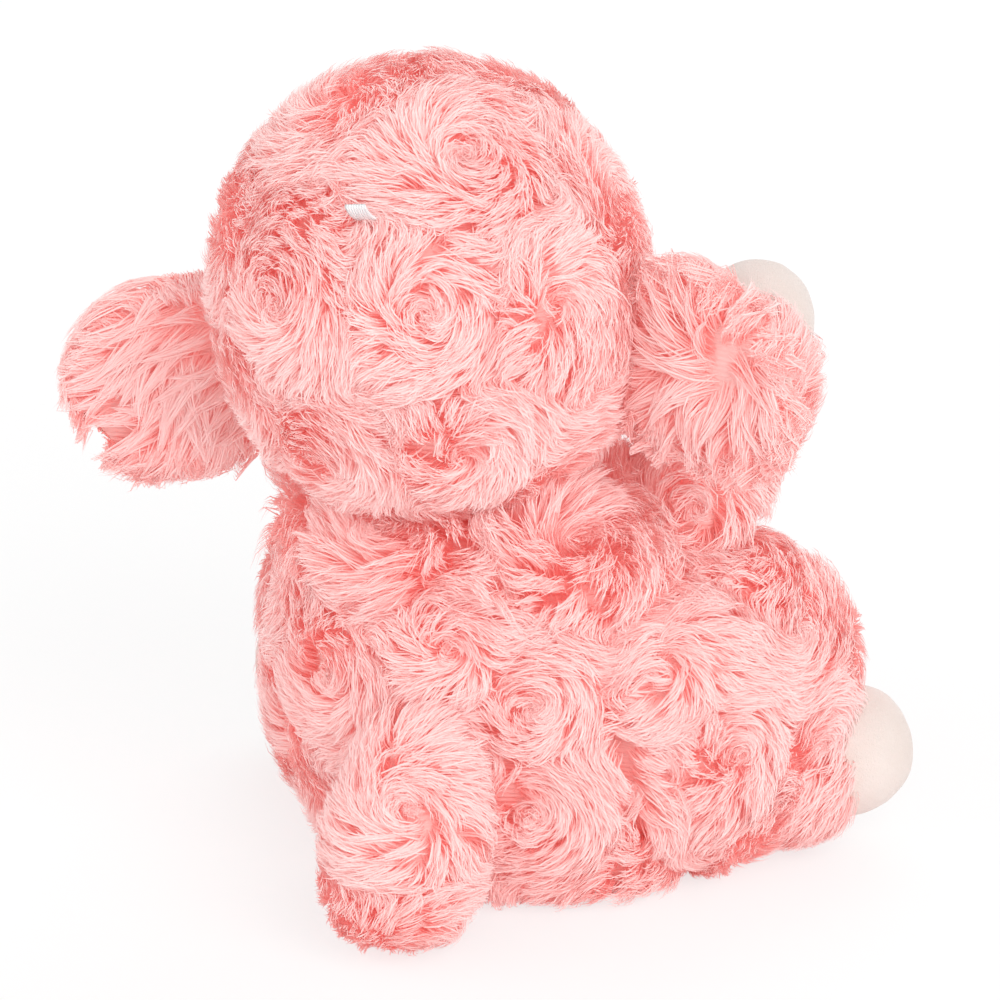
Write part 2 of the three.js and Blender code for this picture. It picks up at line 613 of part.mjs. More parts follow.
function hindLeg(side, word) {
  const frame = hipFrame(side);
  const low = new THREE.Vector3(0, 0, (HIND_WIDTH - HAUNCH_WIDTH) / 2);
  const outward = rad(HIND_SPLAY - HAUNCH_TURN);
  const rise = Math.tan(rad(HIND_RAISE));
  const aim = aimed(low, new THREE.Vector3(side * Math.sin(outward), -Math.cos(outward), rise));
  const form = (wall) => {
    const size = wall > 0 ? "inner" : "limb";
    const sleeve = plump([
      [0, 0],
      [HIND_WIDTH / 2 - wall, HIND_SLEEVE * HIND_BELLY.length],
      [HIND_CUFF / 2 - wall, HIND_SLEEVE - PILE / 3],
      [0, HIND_SLEEVE - wall / 3],
    ], size);
    const round = cushion(HAUNCH_WIDTH, HAUNCH_THICKNESS, -wall, wall > 0 ? "inner" : "bulk");
    const whole = solid(round).add(solid(sleeve, aim));
    return whole.subtract(solid(innerSide(side, -wall))).subtract(below(wall, frame));
  };
  const hoof = { width: HIND_HOOF_WIDTH, sleeve: HIND_SLEEVE, reach: HIND_REACH };
  const group = leg(`${word}_hind`, form, hoof, aim);
  group.position.copy(frame.position);
  group.quaternion.copy(frame.quaternion);
  return group;
}

// Tail along +Z from its root, shrunk by a wall
function tailForm(wall) {
  const size = wall > 0 ? "inner" : "limb";
  return plump([
    [TAIL_ROOT / 2 - wall, 0],
    [TAIL_WIDTH / 2 - wall, TAIL_LENGTH * TAIL_BELLY.length],
    [TAIL_WIDTH * TAIL_TIP.width - wall, TAIL_LENGTH * TAIL_TIP.length - wall / 2],
    [0, TAIL_LENGTH - wall],
  ], size);
}

function tail() {
  const group = tailFrame();
  const bore = solid(rod(TAIL_HOLE / 2, -FAR, TAIL_LENGTH / 3));
  const cover = solid(tailForm(0)).subtract(solid(tailForm(PILE))).subtract(bore).subtract(below(0, group));
  group.add(piece("tail_cover", cover, pink));
  group.add(piece("tail_stuffing", solid(tailForm(PILE + CLEARANCE)), stuffing));
  return group;
}

const lamb = new THREE.Group();
lamb.add(body());
lamb.add(neckGusset());
lamb.add(head());
for (const [side, word] of [[1, "left"], [-1, "right"]]) {
  lamb.add(frontLeg(side, word));
  lamb.add(hindLeg(side, word));
}
lamb.add(tail());

export default lamb;
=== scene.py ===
"""Plush lamb that sits up, in long swirl pile with short-pile hooves and face.

Lengths are metres and angles are degrees. +Z is up, the lamb faces -Y and its left side is +X.
"""
import logging
import math
from dataclasses import dataclass, field
from enum import Enum
from typing import Any, Sequence

import bpy
import numpy as np
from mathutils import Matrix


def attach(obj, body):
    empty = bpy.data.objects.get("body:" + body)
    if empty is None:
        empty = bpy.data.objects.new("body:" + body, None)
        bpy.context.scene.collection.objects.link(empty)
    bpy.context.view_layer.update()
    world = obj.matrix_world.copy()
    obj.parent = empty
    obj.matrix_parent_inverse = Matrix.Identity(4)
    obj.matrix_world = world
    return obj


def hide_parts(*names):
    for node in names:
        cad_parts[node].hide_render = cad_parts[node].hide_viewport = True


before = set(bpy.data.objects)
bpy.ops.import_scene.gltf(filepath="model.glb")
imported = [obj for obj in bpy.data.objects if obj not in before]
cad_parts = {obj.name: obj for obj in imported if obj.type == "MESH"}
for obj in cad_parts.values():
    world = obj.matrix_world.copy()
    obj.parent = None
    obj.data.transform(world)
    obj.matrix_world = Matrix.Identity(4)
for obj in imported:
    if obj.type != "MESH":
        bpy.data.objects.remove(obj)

Array = np.ndarray
LOG = logging.getLogger("plush_lamb")
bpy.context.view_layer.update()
MM = 0.001
NO_TRIS = np.zeros((0, 3), int)


class Side(Enum):
    """Side of the lamb, with its sign along X."""

    LEFT = 1
    RIGHT = -1

    @property
    def word(self) -> str:
        """Name of the side as the frame's bodies and nodes have it."""
        return self.name.lower()


# Frames

def turn(axis: str, degrees: float) -> Array:
    """Rotation matrix, 3 by 3, about one of the axes x, y and z."""
    c, s = math.cos(math.radians(degrees)), math.sin(math.radians(degrees))
    if axis == "x":
        return np.array([[1, 0, 0], [0, c, -s], [0, s, c]])
    if axis == "y":
        return np.array([[c, 0, s], [0, 1, 0], [-s, 0, c]])
    return np.array([[c, -s, 0], [s, c, 0], [0, 0, 1]])


def aim(direction: Sequence[float]) -> Array:
    """Shortest rotation, 3 by 3, that takes +Z to a direction."""
    d = np.asarray(direction, float) / np.linalg.norm(direction)
    v = np.array([-d[1], d[0], 0.0])
    cross = np.array([[0, -v[2], v[1]], [v[2], 0, -v[0]], [-v[1], v[0], 0]])
    return np.eye(3) + cross + cross @ cross / (1 + d[2])


def placed(position: Sequence[float], matrix: Array | None = None) -> Array:
    """Frame, 4 by 4, from a position and a 3 by 3 matrix."""
    out = np.eye(4)
    out[:3, :3] = np.eye(3) if matrix is None else matrix
    out[:3, 3] = position
    return out


def unit(vectors: Array) -> Array:
    """Vectors scaled to length 1 along the last axis."""
    return vectors / np.maximum(np.linalg.norm(vectors, axis=-1, keepdims=True), 1e-12)


def ease(values: Array) -> Array:
    """Smooth step from 0 to 1: 3 t squared less 2 t cubed, with t held between 0 and 1."""
    t = np.clip(values, 0, 1)
    return t * t * (3 - 2 * t)


# Round forms

def knot_gap(a: Array, b: Array) -> Array:
    """Square roots of the distances between paired points, the knots of a centripetal spline."""
    return np.sqrt(np.linalg.norm(b - a, axis=1, keepdims=True))


def smooth_outline(points: Sequence[Sequence[float]], steps: int = 14) -> Array:
    """Carry a smooth line through a few [radius, height] points.

    Each stretch is a cubic between two points. Its end slopes come from the neighbouring points, weighed by
    the square roots of the distances, so that the line doesn't overshoot.

    Args:
        points: Corner points of the outline.
        steps: Pieces that each stretch is cut into.

    Returns:
        Points of the line, one row each, with no radius below 0.
    """
    p = np.asarray(points, float)
    p = np.vstack([2 * p[0] - p[1], p, 2 * p[-1] - p[-2]])
    a, b, c, d = p[:-3], p[1:-2], p[2:-1], p[3:]
    ab, bc, cd = knot_gap(a, b), knot_gap(b, c), knot_gap(c, d)
    leave = ((b - a) / ab - (c - a) / (ab + bc) + (c - b) / bc) * bc
    reach = ((c - b) / bc - (d - b) / (bc + cd) + (d - c) / cd) * bc
    t = np.linspace(0, 1, steps, endpoint=False)[None, :, None]
    b, c, leave, reach = (part[:, None, :] for part in (b, c, leave, reach))
    line = (2 * t**3 - 3 * t**2 + 1) * b + (t**3 - 2 * t**2 + t) * leave
    line = line + (3 * t**2 - 2 * t**3) * c + (t**3 - t**2) * reach
    line = np.vstack([line.reshape(-1, 2), p[-2]])
    line[:, 0] = np.maximum(line[:, 0], 0)
    return line


def half_ball(radius: float, steps: int = 10) -> Array:
    """Lower quarter of a circle from the axis to its rim at height 0, without the rim point."""
    angle = np.linspace(-math.pi / 2, 0, steps, endpoint=False)
    return np.column_stack([radius * np.cos(angle), radius * np.sin(angle)])


def arch(power: float, low_power: float | None = None, steps: int = 60) -> Array:
    """Half outline of a unit superellipse: radius to the power plus height to the power is 1.

    Args:
        power: The power, which is 2 for an ellipse and more for a fuller form.
        low_power: The lower half's own power, where it differs.
        steps: Points of the outline.

    Returns:
        Radii and heights, one row each, from the low end to the high end.
    """
    angle = np.linspace(-math.pi / 2, math.pi / 2, steps)
    share = 2 / np.where(angle < 0, low_power or power, power)
    out = np.clip(np.cos(angle), 0, 1) ** share
    up = np.sign(np.sin(angle)) * np.abs(np.sin(angle)) ** share
    return np.column_stack([out, up])


def ring_faces(rings: int, sides: int) -> tuple[Array, Array]:
    """Faces between rings of corners, and those that close both ends at two points numbered after the rings.

    Args:
        rings: Number of rings.
        sides: Corners of each ring.

    Returns:
        Four-sided faces and three-sided faces.
    """
    index = np.arange(rings * sides).reshape(rings, sides)
    after = np.roll(index, -1, axis=1)
    quads = np.stack([index[:-1], after[:-1], after[1:], index[1:]], axis=-1).reshape(-1, 4)
    bottom = np.column_stack([np.full(sides, rings * sides), after[0], index[0]])
    top = np.column_stack([np.full(sides, rings * sides + 1), index[-1], after[-1]])
    return quads, np.vstack([bottom, top])


@dataclass(frozen=True)
class Swell:
    """Stuffed round form: an outline turned about its own +Z, then set in the lamb by a frame.

    The outline runs from its low end on the axis to its high end on the axis.
    """

    outline: Array
    place: Array

    def slopes(self) -> Array:
        """Outward normals of the outline at its points: each edge turned by a right angle, then averaged."""
        edge = np.diff(self.outline, axis=0)
        across = unit(np.column_stack([edge[:, 1], -edge[:, 0]]))
        return unit(np.vstack([across[:1], across[:-1] + across[1:], across[-1:]]))

    def shares(self) -> Array:
        """Share of the outline's length at each of its points."""
        length = np.concatenate([[0], np.cumsum(np.linalg.norm(np.diff(self.outline, axis=0), axis=1))])
        return length / length[-1]

    def lift(self, radial: Array, upward: Array, angle: Array, is_normal: bool) -> Array:
        """Carry values in the outline's plane round the axis and into the lamb."""
        local = np.stack([radial * np.cos(angle), radial * np.sin(angle), upward], axis=-1)
        if is_normal:
            return unit(local @ np.linalg.inv(self.place[:3, :3]))
        return local @ self.place[:3, :3].T + self.place[:3, 3]

    def at(self, turns: Array, along: Array) -> tuple[Array, Array]:
        """Points and outward normals of the surface.

        Args:
            turns: Shares of a full turn round the axis.
            along: Shares of the outline's length.

        Returns:
            Points and normals.
        """
        angle, share, slope = 2 * math.pi * turns, self.shares(), self.slopes()
        r, h = (np.interp(along, share, self.outline[:, k]) for k in (0, 1))
        nr, nh = (np.interp(along, share, slope[:, k]) for k in (0, 1))
        return self.lift(r, h, angle, False), self.lift(nr, nh, angle, True)

    def scatter(self, rng: np.random.Generator, count: int) -> tuple[Array, Array]:
        """Random points spread evenly over the surface, and their normals."""
        fine = np.linspace(0, 1, 400)
        weight = np.cumsum(np.interp(fine, self.shares(), self.outline[:, 0]) + 1e-9)
        along = np.interp(rng.random(count) * weight[-1], weight, fine)
        return self.at(rng.random(count), along)

    def nearest(self, points: Array) -> tuple[Array, Array, Array]:
        """Nearest places on the surface.

        A point's distance from the axis and its height are compared with every edge of the outline.

        Returns:
            Places, outward normals there, and how far the points are outside, negative inside.
        """
        parts = [self.nearest_few(few) for few in np.array_split(points, max(1, len(points) // 12000))]
        foot, normal, outside = (np.concatenate(group) for group in zip(*parts))
        return foot, normal, outside

    def nearest_few(self, points: Array) -> tuple[Array, Array, Array]:
        """The same for as many points as fit in memory at once."""
        local = (points - self.place[:3, 3]) @ np.linalg.inv(self.place[:3, :3]).T
        flat = np.column_stack([np.hypot(local[:, 0], local[:, 1]), local[:, 2]])
        start, edge, slope = self.outline[:-1], np.diff(self.outline, axis=0), self.slopes()
        rel = flat[:, None, :] - start
        t = np.clip((rel * edge).sum(2) / np.maximum((edge**2).sum(1), 1e-18), 0, 1)
        best = np.argmin(((rel - t[..., None] * edge) ** 2).sum(2), axis=1)
        share = t[np.arange(len(flat)), best][:, None]
        foot = start[best] + share * edge[best]
        normal = unit((1 - share) * slope[best] + share * slope[best + 1])
        angle = np.arctan2(local[:, 1], local[:, 0])
        outside = ((flat - foot) * normal).sum(1)
        place = self.lift(foot[:, 0], foot[:, 1], angle, False)
        return place, self.lift(normal[:, 0], normal[:, 1], angle, True), outside

    def skin(self, sides: int, steps: int) -> tuple[Array, Array, Array]:
        """Closed mesh of the surface, evenly stepped along the outline and round the axis.

        Returns:
            Corners, four-sided faces and the three-sided faces at both poles.
        """
        turns, along = np.meshgrid(np.arange(sides) / sides, np.linspace(0, 1, steps + 1)[1:-1])
        rings, _ = self.at(turns, along)
        poles, _ = self.at(np.zeros(2), np.array([0.0, 1.0]))
        return (np.vstack([rings.reshape(-1, 3), poles]), *ring_faces(steps - 1, sides))


# Meshes

def build_piece(name: str, corners: Array, quads: Array, tris: Array,
                strand_map: Array | None = None) -> bpy.types.Object:
    """Put arrays of corners and faces into a mesh object at the origin, smooth unless it is strands.

    Args:
        name: Name of the piece.
        corners: Positions of the corners.
        quads: Four corner numbers for each four-sided face.
        tris: Three corner numbers for each three-sided face.
        strand_map: Map coordinates of each face's corners in turn, quads first.

    Returns:
        The object.
    """
    mesh = bpy.data.meshes.new(name)
    loops = np.concatenate([quads.ravel(), tris.ravel()]).astype(np.int32)
    first = np.concatenate([np.arange(len(quads)) * 4, len(quads) * 4 + np.arange(len(tris)) * 3])
    mesh.vertices.add(len(corners))
    mesh.vertices.foreach_set("co", np.ascontiguousarray(corners, np.float32).ravel())
    mesh.loops.add(len(loops))
    mesh.loops.foreach_set("vertex_index", loops)
    mesh.polygons.add(len(first))
    mesh.polygons.foreach_set("loop_start", first.astype(np.int32))
    mesh.polygons.foreach_set("use_smooth", np.full(len(first), strand_map is None))
    if strand_map is not None:
        layer = mesh.uv_layers.new(name="OFBake")
        layer.data.foreach_set("uv", np.ascontiguousarray(strand_map, np.float32).ravel())
    mesh.update(calc_edges=True)
    obj = bpy.data.objects.new(name, mesh)
    bpy.context.scene.collection.objects.link(obj)
    return obj


def settle(obj: bpy.types.Object, body: str, slot: str, finish: bpy.types.Material,
           *nodes: str) -> bpy.types.Object:
    """Dress a piece, set it on its body and let it stand for its frame nodes.

    Args:
        obj: The piece.
        body: Body of the frame that it moves with.
        slot: Material slot of the record; not used.
        finish: Its material.
        nodes: Frame nodes that it stands for.

    Returns:
        The piece.
    """
    obj.data.materials.clear()
    obj.data.materials.append(finish)
    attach(obj, body)
    if nodes:
        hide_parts(*nodes)
    LOG.info("%s on %s: %d faces", obj.name, body, len(obj.data.polygons))
    return obj


def round_piece(name: str, form: Swell, sides: int = 48, steps: int = 36) -> bpy.types.Object:
    """Mesh object of a round form."""
    return build_piece(name, *form.skin(sides, steps))


# Long pile

@dataclass(frozen=True)
class Pile:
    """Long pile pressed into rosettes: every lock lies along a spiral about the nearest rosette's middle."""

    height: float = 6.2 * MM  # backing to the top of the pile
    length: float = 10.5 * MM  # how far a lock lies over
    rosette: float = 34 * MM  # between the rosettes' middles
    swirl: float = 62.0  # angle between a lock and the way straight out of its rosette
    inward: float = 50.0  # how much more it turns at the rosette's middle
    lock_area: float = 5.5 * MM * MM  # backing to each lock
    strands: int = 18  # in each lock
    width: float = 0.4 * MM  # of a strand
    gather: float = 0.65  # how far a lock's strands come together at the tip
    stray: float = 12.0  # scatter of the locks' directions
    wander: float = 34.0  # slow swing of the locks' directions from place to place
    cling: float = 0.93  # 1 keeps a lock along the form, and less lets its tip lift off
    lay: tuple[float, float, float] = (0.0, 0.0, -0.2)  # steady drift of the pile
    roll: float = 20.0  # scatter of the strands' turn about their own length
    fray: float = 0.8 * MM  # how far the strands' tips spread out of their lock
    ragged: float = 0.27  # how much the locks differ in length
    ruff: float = 0.0  # share of height that is added where the form faces up


@dataclass(frozen=True)
class Facing:
    """Part of a form that a coat grows on: what faces a way or, with an origin, what lies that way from it."""

    way: Array
    least: float
    origin: Array | None = None

    def holds(self, roots: Array, normals: Array) -> Array:
        """Whether each root is on that part."""
        return (normals if self.origin is None else roots - self.origin) @ self.way > self.least


def clear_of(forms: Sequence[Swell], room: float = 0.0) -> list[tuple[Swell, float]]:
    """Forms that a coat stays out of, each with the room that it needs."""
    return [(form, room) for form in forms]


@dataclass
class Coat:
    """Locks of long pile on a round form, and the meshes made of them."""

    form: Swell
    pile: Pile
    seed: int
    fixed: Sequence[tuple[float, float]] = ()
    rng: np.random.Generator = field(init=False)
    middles: Array = field(init=False)
    waves: Array = field(init=False)

    STEPS = 8
    RINGS = np.array([0.0, 0.4, 0.76, 1.0])
    GIRTH = np.array([0.8, 1.0, 0.75, 0.0])
    SWELL = 36 * MM  # between the crests of the slow waves that the pile wanders by
    PARTING = 17 * MM  # between the crests of those that part it
    WAVES = 6  # of each kind
    PULL = 0.3  # reach of a rosette's spiral, as a share of the way between rosettes, like the next three
    TIGHT = 0.42  # reach of the stronger turn at its middle
    SEAM = 0.3  # reach of the dip between two rosettes
    CORE = 0.22  # reach of the dip at a middle
    PARTED = (0.68, 0.3)  # wave height where the pile starts to part, and the width of that edge
    LIE_OVER = 1.25  # power by which a lock's steps grow longer
    RISE = 2.4  # power by which a lock rises from the backing
    TALL = (0.72, 0.42)  # share of the height in a dip, and what the relief adds
    UNEVEN = (0.82, 1.12)  # scatter of the locks' heights
    REACH = (0.55, 1.0)  # shares of a lock's line where its strands end
    LOFT = (-0.16, 0.2)  # scatter of the strands' tips in height
    OFF_GROUND = (0.3, 2.2)  # millimetres that strands keep above the ground
    TONE = (0.22, 0.52)  # painted shade: tone in a dip, and what the relief adds, so the pile's dips render darker
    MOST_FACES = 190000  # triangles of one piece

    def __post_init__(self) -> None:
        """Seed the scatter and spread the rosettes."""
        self.rng = np.random.default_rng(self.seed)
        crests = np.repeat([self.SWELL, self.PARTING], self.WAVES)
        self.waves = np.column_stack([
            unit(self.rng.normal(0, 1, (len(crests), 3))) * (2 * math.pi / crests[:, None]),
            self.rng.uniform(0, 2 * math.pi, len(crests))])
        self.middles = self.spread()

    def spread(self) -> Array:
        """Middles of the rosettes: the given ones, then random places that keep away from all others."""
        points, _ = self.form.scatter(self.rng, 1500)
        chosen = [self.form.at(np.array([t]), np.array([a]))[0][0] for t, a in self.fixed]
        for point in points:
            if all(np.linalg.norm(point - other) > self.pile.rosette for other in chosen):
                chosen.append(point)
        return np.array(chosen)

    def noise(self, points: Array, first: int) -> Array:
        """Slow waves from -1 to 1: twice the mean of the sines along the chosen waves, held in that range."""
        some = self.waves[first:first + self.WAVES]
        return np.clip(2 * np.sin(points @ some[:, :3].T + some[:, 3]).mean(axis=1), -1, 1)

    def flow(self, points: Array, normals: Array) -> tuple[Array, Array]:
        """Directions of the pile and the relief of its top.

        About each middle the way straight out turns clockwise by the swirl, seen from outside. The spirals
        blend by bell curves of the distances. The relief is 0 at a middle and between two rosettes, and 1 on
        the roll between them.

        Returns:
            Directions along the backing, and the relief.
        """
        out = points[:, None, :] - self.middles
        gap = np.linalg.norm(out, axis=2)
        near = np.sort(np.column_stack([gap, np.full(len(gap), 1.0)]), axis=1)
        bell = np.exp(-(gap**2 - near[:, :1] ** 2) / (2 * (self.PULL * self.pile.rosette) ** 2))
        out = out - (out * normals[:, None, :]).sum(2, keepdims=True) * normals[:, None, :]
        out = unit(out)
        close = 1 - ease(gap / (self.TIGHT * self.pile.rosette))
        swirl = np.radians(self.pile.swirl + self.pile.inward * close)[..., None]
        around = np.cross(out, np.broadcast_to(normals[:, None, :], out.shape))
        way = ((np.cos(swirl) * out + np.sin(swirl) * around) * bell[..., None]).sum(1)
        way = unit(way) + np.asarray(self.pile.lay)
        way = unit(way - (way * normals).sum(1, keepdims=True) * normals)
        edge = ease((near[:, 1] - near[:, 0]) / (self.SEAM * self.pile.rosette))
        core = ease(near[:, 0] / (self.CORE * self.pile.rosette))
        return way, (0.35 + 0.65 * edge) * (0.3 + 0.7 * core)

    def locks(self, keep_out: Sequence[tuple[Swell, float]], only: Facing | None = None) -> dict[str, Array]:
        """Lines of the locks: rooted on the backing, they rise and then lie over along the flow.

        Args:
            keep_out: Forms that the locks stay out of, each with the room that it needs.
            only: Part of the form that the locks are wanted on.

        Returns:
            Lines, normals and sideways directions along them, and the relief at the roots, which sets the
            painted shade of the strands' tone.
        """
        pile = self.pile
        roots, normals = self.form.scatter(self.rng, int(self.surface_area() / pile.lock_area))
        wanted = np.ones(len(roots), bool)
        for other, room in keep_out:
            wanted &= other.nearest(roots + normals * pile.height * 0.7)[2] > room
        if only is not None:
            wanted &= only.holds(roots, normals)
        roots, normals = roots[wanted], normals[wanted]
        reach = pile.length * self.rng.uniform(1 - pile.ragged, 1 + pile.ragged, len(roots))
        stray = self.rng.normal(0, pile.stray, len(roots))
        bend = np.radians(stray + pile.wander * self.noise(roots, 0))[:, None]
        parted = ease((self.noise(roots, self.WAVES) - self.PARTED[0]) / self.PARTED[1])
        base, ups, sides, rise = [], [], [], []
        place, up = roots, normals
        for step in range(self.STEPS + 1):
            way, relief = self.flow(place, up)
            side = np.cross(up, way)
            way = np.cos(bend) * way + np.sin(bend) * side
            base.append(place)
            ups.append(up)
            sides.append(np.cross(up, way))
            rise.append(relief)
            share = ((step + 1) / self.STEPS) ** self.LIE_OVER - (step / self.STEPS) ** self.LIE_OVER
            free = place + way * (reach * share)[:, None]
            lying, up, _ = self.form.nearest(free)
            place = pile.cling * lying + (1 - pile.cling) * free
        base, ups, sides, rise = (np.stack(part, axis=1) for part in (base, ups, sides, rise))
        s = np.linspace(0, 1, self.STEPS + 1)
        tall = pile.height * (self.TALL[0] + self.TALL[1] * rise) * (1 - (1 - s) ** self.RISE)
        ruffed = 1 + pile.ruff * ease((normals[:, 2] - 0.35) / 0.4)
        tall = tall * (self.rng.uniform(*self.UNEVEN, len(roots)) * (1 - 0.2 * parted) * ruffed)[:, None]
        # Relief at the roots, lower where the pile parts, sets the painted shade of the strands' tone.
        relief = rise[:, 0] * (1 - 0.4 * parted)
        return {"line": base + ups * tall[..., None], "up": ups, "side": sides, "relief": relief}

    def surface_area(self) -> float:
        """Area of the form: corners of a coarse skin, summed as triangles."""
        corners, quads, tris = self.form.skin(32, 32)
        halves = np.vstack([quads[:, [0, 1, 2]], quads[:, [0, 2, 3]], tris])
        a, b, c = (corners[halves[:, k]] for k in range(3))
        return float(np.linalg.norm(np.cross(b - a, c - a), axis=1).sum() / 2)

    def strands(self, locks: dict[str, Array]) -> tuple[Array, Array, Array, Array]:
        """Strands of the locks, each a flat blade that narrows to a point.

        A strand follows its lock's line at its own offset, which shrinks towards the tip, and ends at its own
        share of the line. Its width is carried along without a twist. Its map coordinates give its tone across,
        which holds painted shade in the pile's dips as well as random tone, and its root to its tip upward.

        Returns:
            Corners, four-sided faces, three-sided faces and the map.
        """
        pile, rng = self.pile, self.rng
        count = len(locks["line"]) * pile.strands
        lock = np.repeat(np.arange(len(locks["line"])), pile.strands)
        s = self.RINGS * rng.uniform(*self.REACH, count)[:, None] * self.STEPS
        low = np.minimum(s.astype(int), self.STEPS - 1)
        share = (s - low)[..., None]
        line, up, side = (
            (1 - share) * locks[key][lock[:, None], low] + share * locks[key][lock[:, None], low + 1]
            for key in ("line", "up", "side")
        )
        close = 1 - pile.gather * self.RINGS[None, :, None]
        spread = 0.5 * math.sqrt(pile.lock_area)
        ahead = np.cross(side, up)
        line = line + side * (rng.normal(0, spread, count)[:, None, None] * close)
        line = line + ahead * (rng.normal(0, spread, count)[:, None, None])
        line = line + side * rng.normal(0, pile.fray, count)[:, None, None] * self.RINGS[None, :, None] ** 2
        loft = (rng.uniform(*self.LOFT, count) * pile.height)[:, None, None]
        line = line + up * loft * self.RINGS[None, :, None]
        line[..., 2] = np.maximum(line[..., 2], rng.uniform(*self.OFF_GROUND, count)[:, None] * MM)
        along = unit(np.gradient(line, axis=1))
        sides = [unit(np.cross(up[:, 0], along[:, 0]))]
        for ring in range(1, len(self.RINGS)):
            ahead = along[:, ring]
            sides.append(unit(sides[-1] - (sides[-1] * ahead).sum(1, keepdims=True) * ahead))
        side = np.stack(sides, axis=1)
        roll = np.radians(rng.normal(0, pile.roll, count))[:, None, None]
        side = np.cos(roll) * side + np.sin(roll) * np.cross(along, side)
        half = side * (pile.width / 2 * rng.uniform(0.7, 1.2, count)[:, None] * self.GIRTH)[..., None]
        rings = np.stack([line + half, line - half], axis=2)[:, :-1]
        corners = np.concatenate([rings.reshape(count, -1, 3), line[:, -1:]], axis=1)
        # Tone: random for each lock and strand, plus painted shade where the relief is low, in the pile's dips
        # and partings.
        own = rng.normal(0.1, 0.09, len(locks["line"]))
        shade = self.TONE[0] + self.TONE[1] * locks["relief"][lock]
        return self.blades(corners, np.clip(shade + own[lock] + rng.normal(0, 0.07, count), 0, 1))

    def blades(self, corners: Array, tone: Array) -> tuple[Array, Array, Array, Array]:
        """Faces and map of strands whose corners come in pairs from the root, with the tip last."""
        count, each = corners.shape[:2]
        pairs = len(self.RINGS) - 1
        low = 2 * np.arange(pairs - 1)
        quads = np.column_stack([low, low + 1, low + 3, low + 2])
        tip = np.array([[each - 3, each - 2, each - 1]])
        first = (np.arange(count) * each)[:, None, None]
        v = 0.01 + 0.98 * self.RINGS
        maps = []
        for across, along in (([0, 1, 1, 0], np.column_stack([v[:-2], v[:-2], v[1:-1], v[1:-1]])),
                              ([0, 1, 0.5], np.array([[v[-2], v[-2], v[-1]]]))):
            u = 0.01 + 0.9 * tone[:, None, None] + 0.08 * np.broadcast_to(across, along.shape)
            maps.append(np.stack([u, np.broadcast_to(along, u.shape)], axis=-1).reshape(-1, 2))
        quads, tips = (first + quads).reshape(-1, 4), (first + tip).reshape(-1, 3)
        return corners.reshape(-1, 3), quads, tips, np.vstack(maps)

    def grow(self, name: str, body: str, finish: bpy.types.Material, keep_out: Sequence[tuple[Swell, float]],
             only: Facing | None = None) -> None:
        """Make the coat's pieces, each small enough for a mesh file, split by the way their roots face."""
        locks = self.locks(keep_out, only)
        most = self.MOST_FACES // ((2 * len(self.RINGS) - 3) * self.pile.strands)
        parts = max(1, math.ceil(len(locks["line"]) / most))
        middle = self.form.place[:3, 3]
        root = locks["line"][:, 0] - middle
        order = np.argsort(np.arctan2(root[:, 1], root[:, 0]))
        for number, some in enumerate(np.array_split(order, parts)):
            few = {key: value[some] for key, value in locks.items()}
            obj = build_piece(f"{name}_pile_{number + 1}", *self.strands(few))
            settle(obj, body, "pink_pile", finish)


# Finishes

class Ink:
    """Output of a node, with arithmetic that adds Math nodes to its material."""

    def __init__(self, book: "Book", socket: bpy.types.NodeSocket) -> None:
        """Keep the socket and the material that it is in."""
        self.book, self.socket = book, socket

    def math(self, operation: str, other: Any, swapped: bool = False) -> "Ink":
        """Math node on this value and another value or number."""
        first, second = (other, self) if swapped else (self, other)
        return self.book.add("ShaderNodeMath", {"operation": operation}, {0: first, 1: second})

    def __add__(self, other: Any) -> "Ink":
        """Sum."""
        return self.math("ADD", other)

    def __sub__(self, other: Any) -> "Ink":
        """Difference."""
        return self.math("SUBTRACT", other)

    def __rsub__(self, other: Any) -> "Ink":
        """Difference from a number."""
        return self.math("SUBTRACT", other, True)

    def __mul__(self, other: Any) -> "Ink":
        """Product."""
        return self.math("MULTIPLY", other)


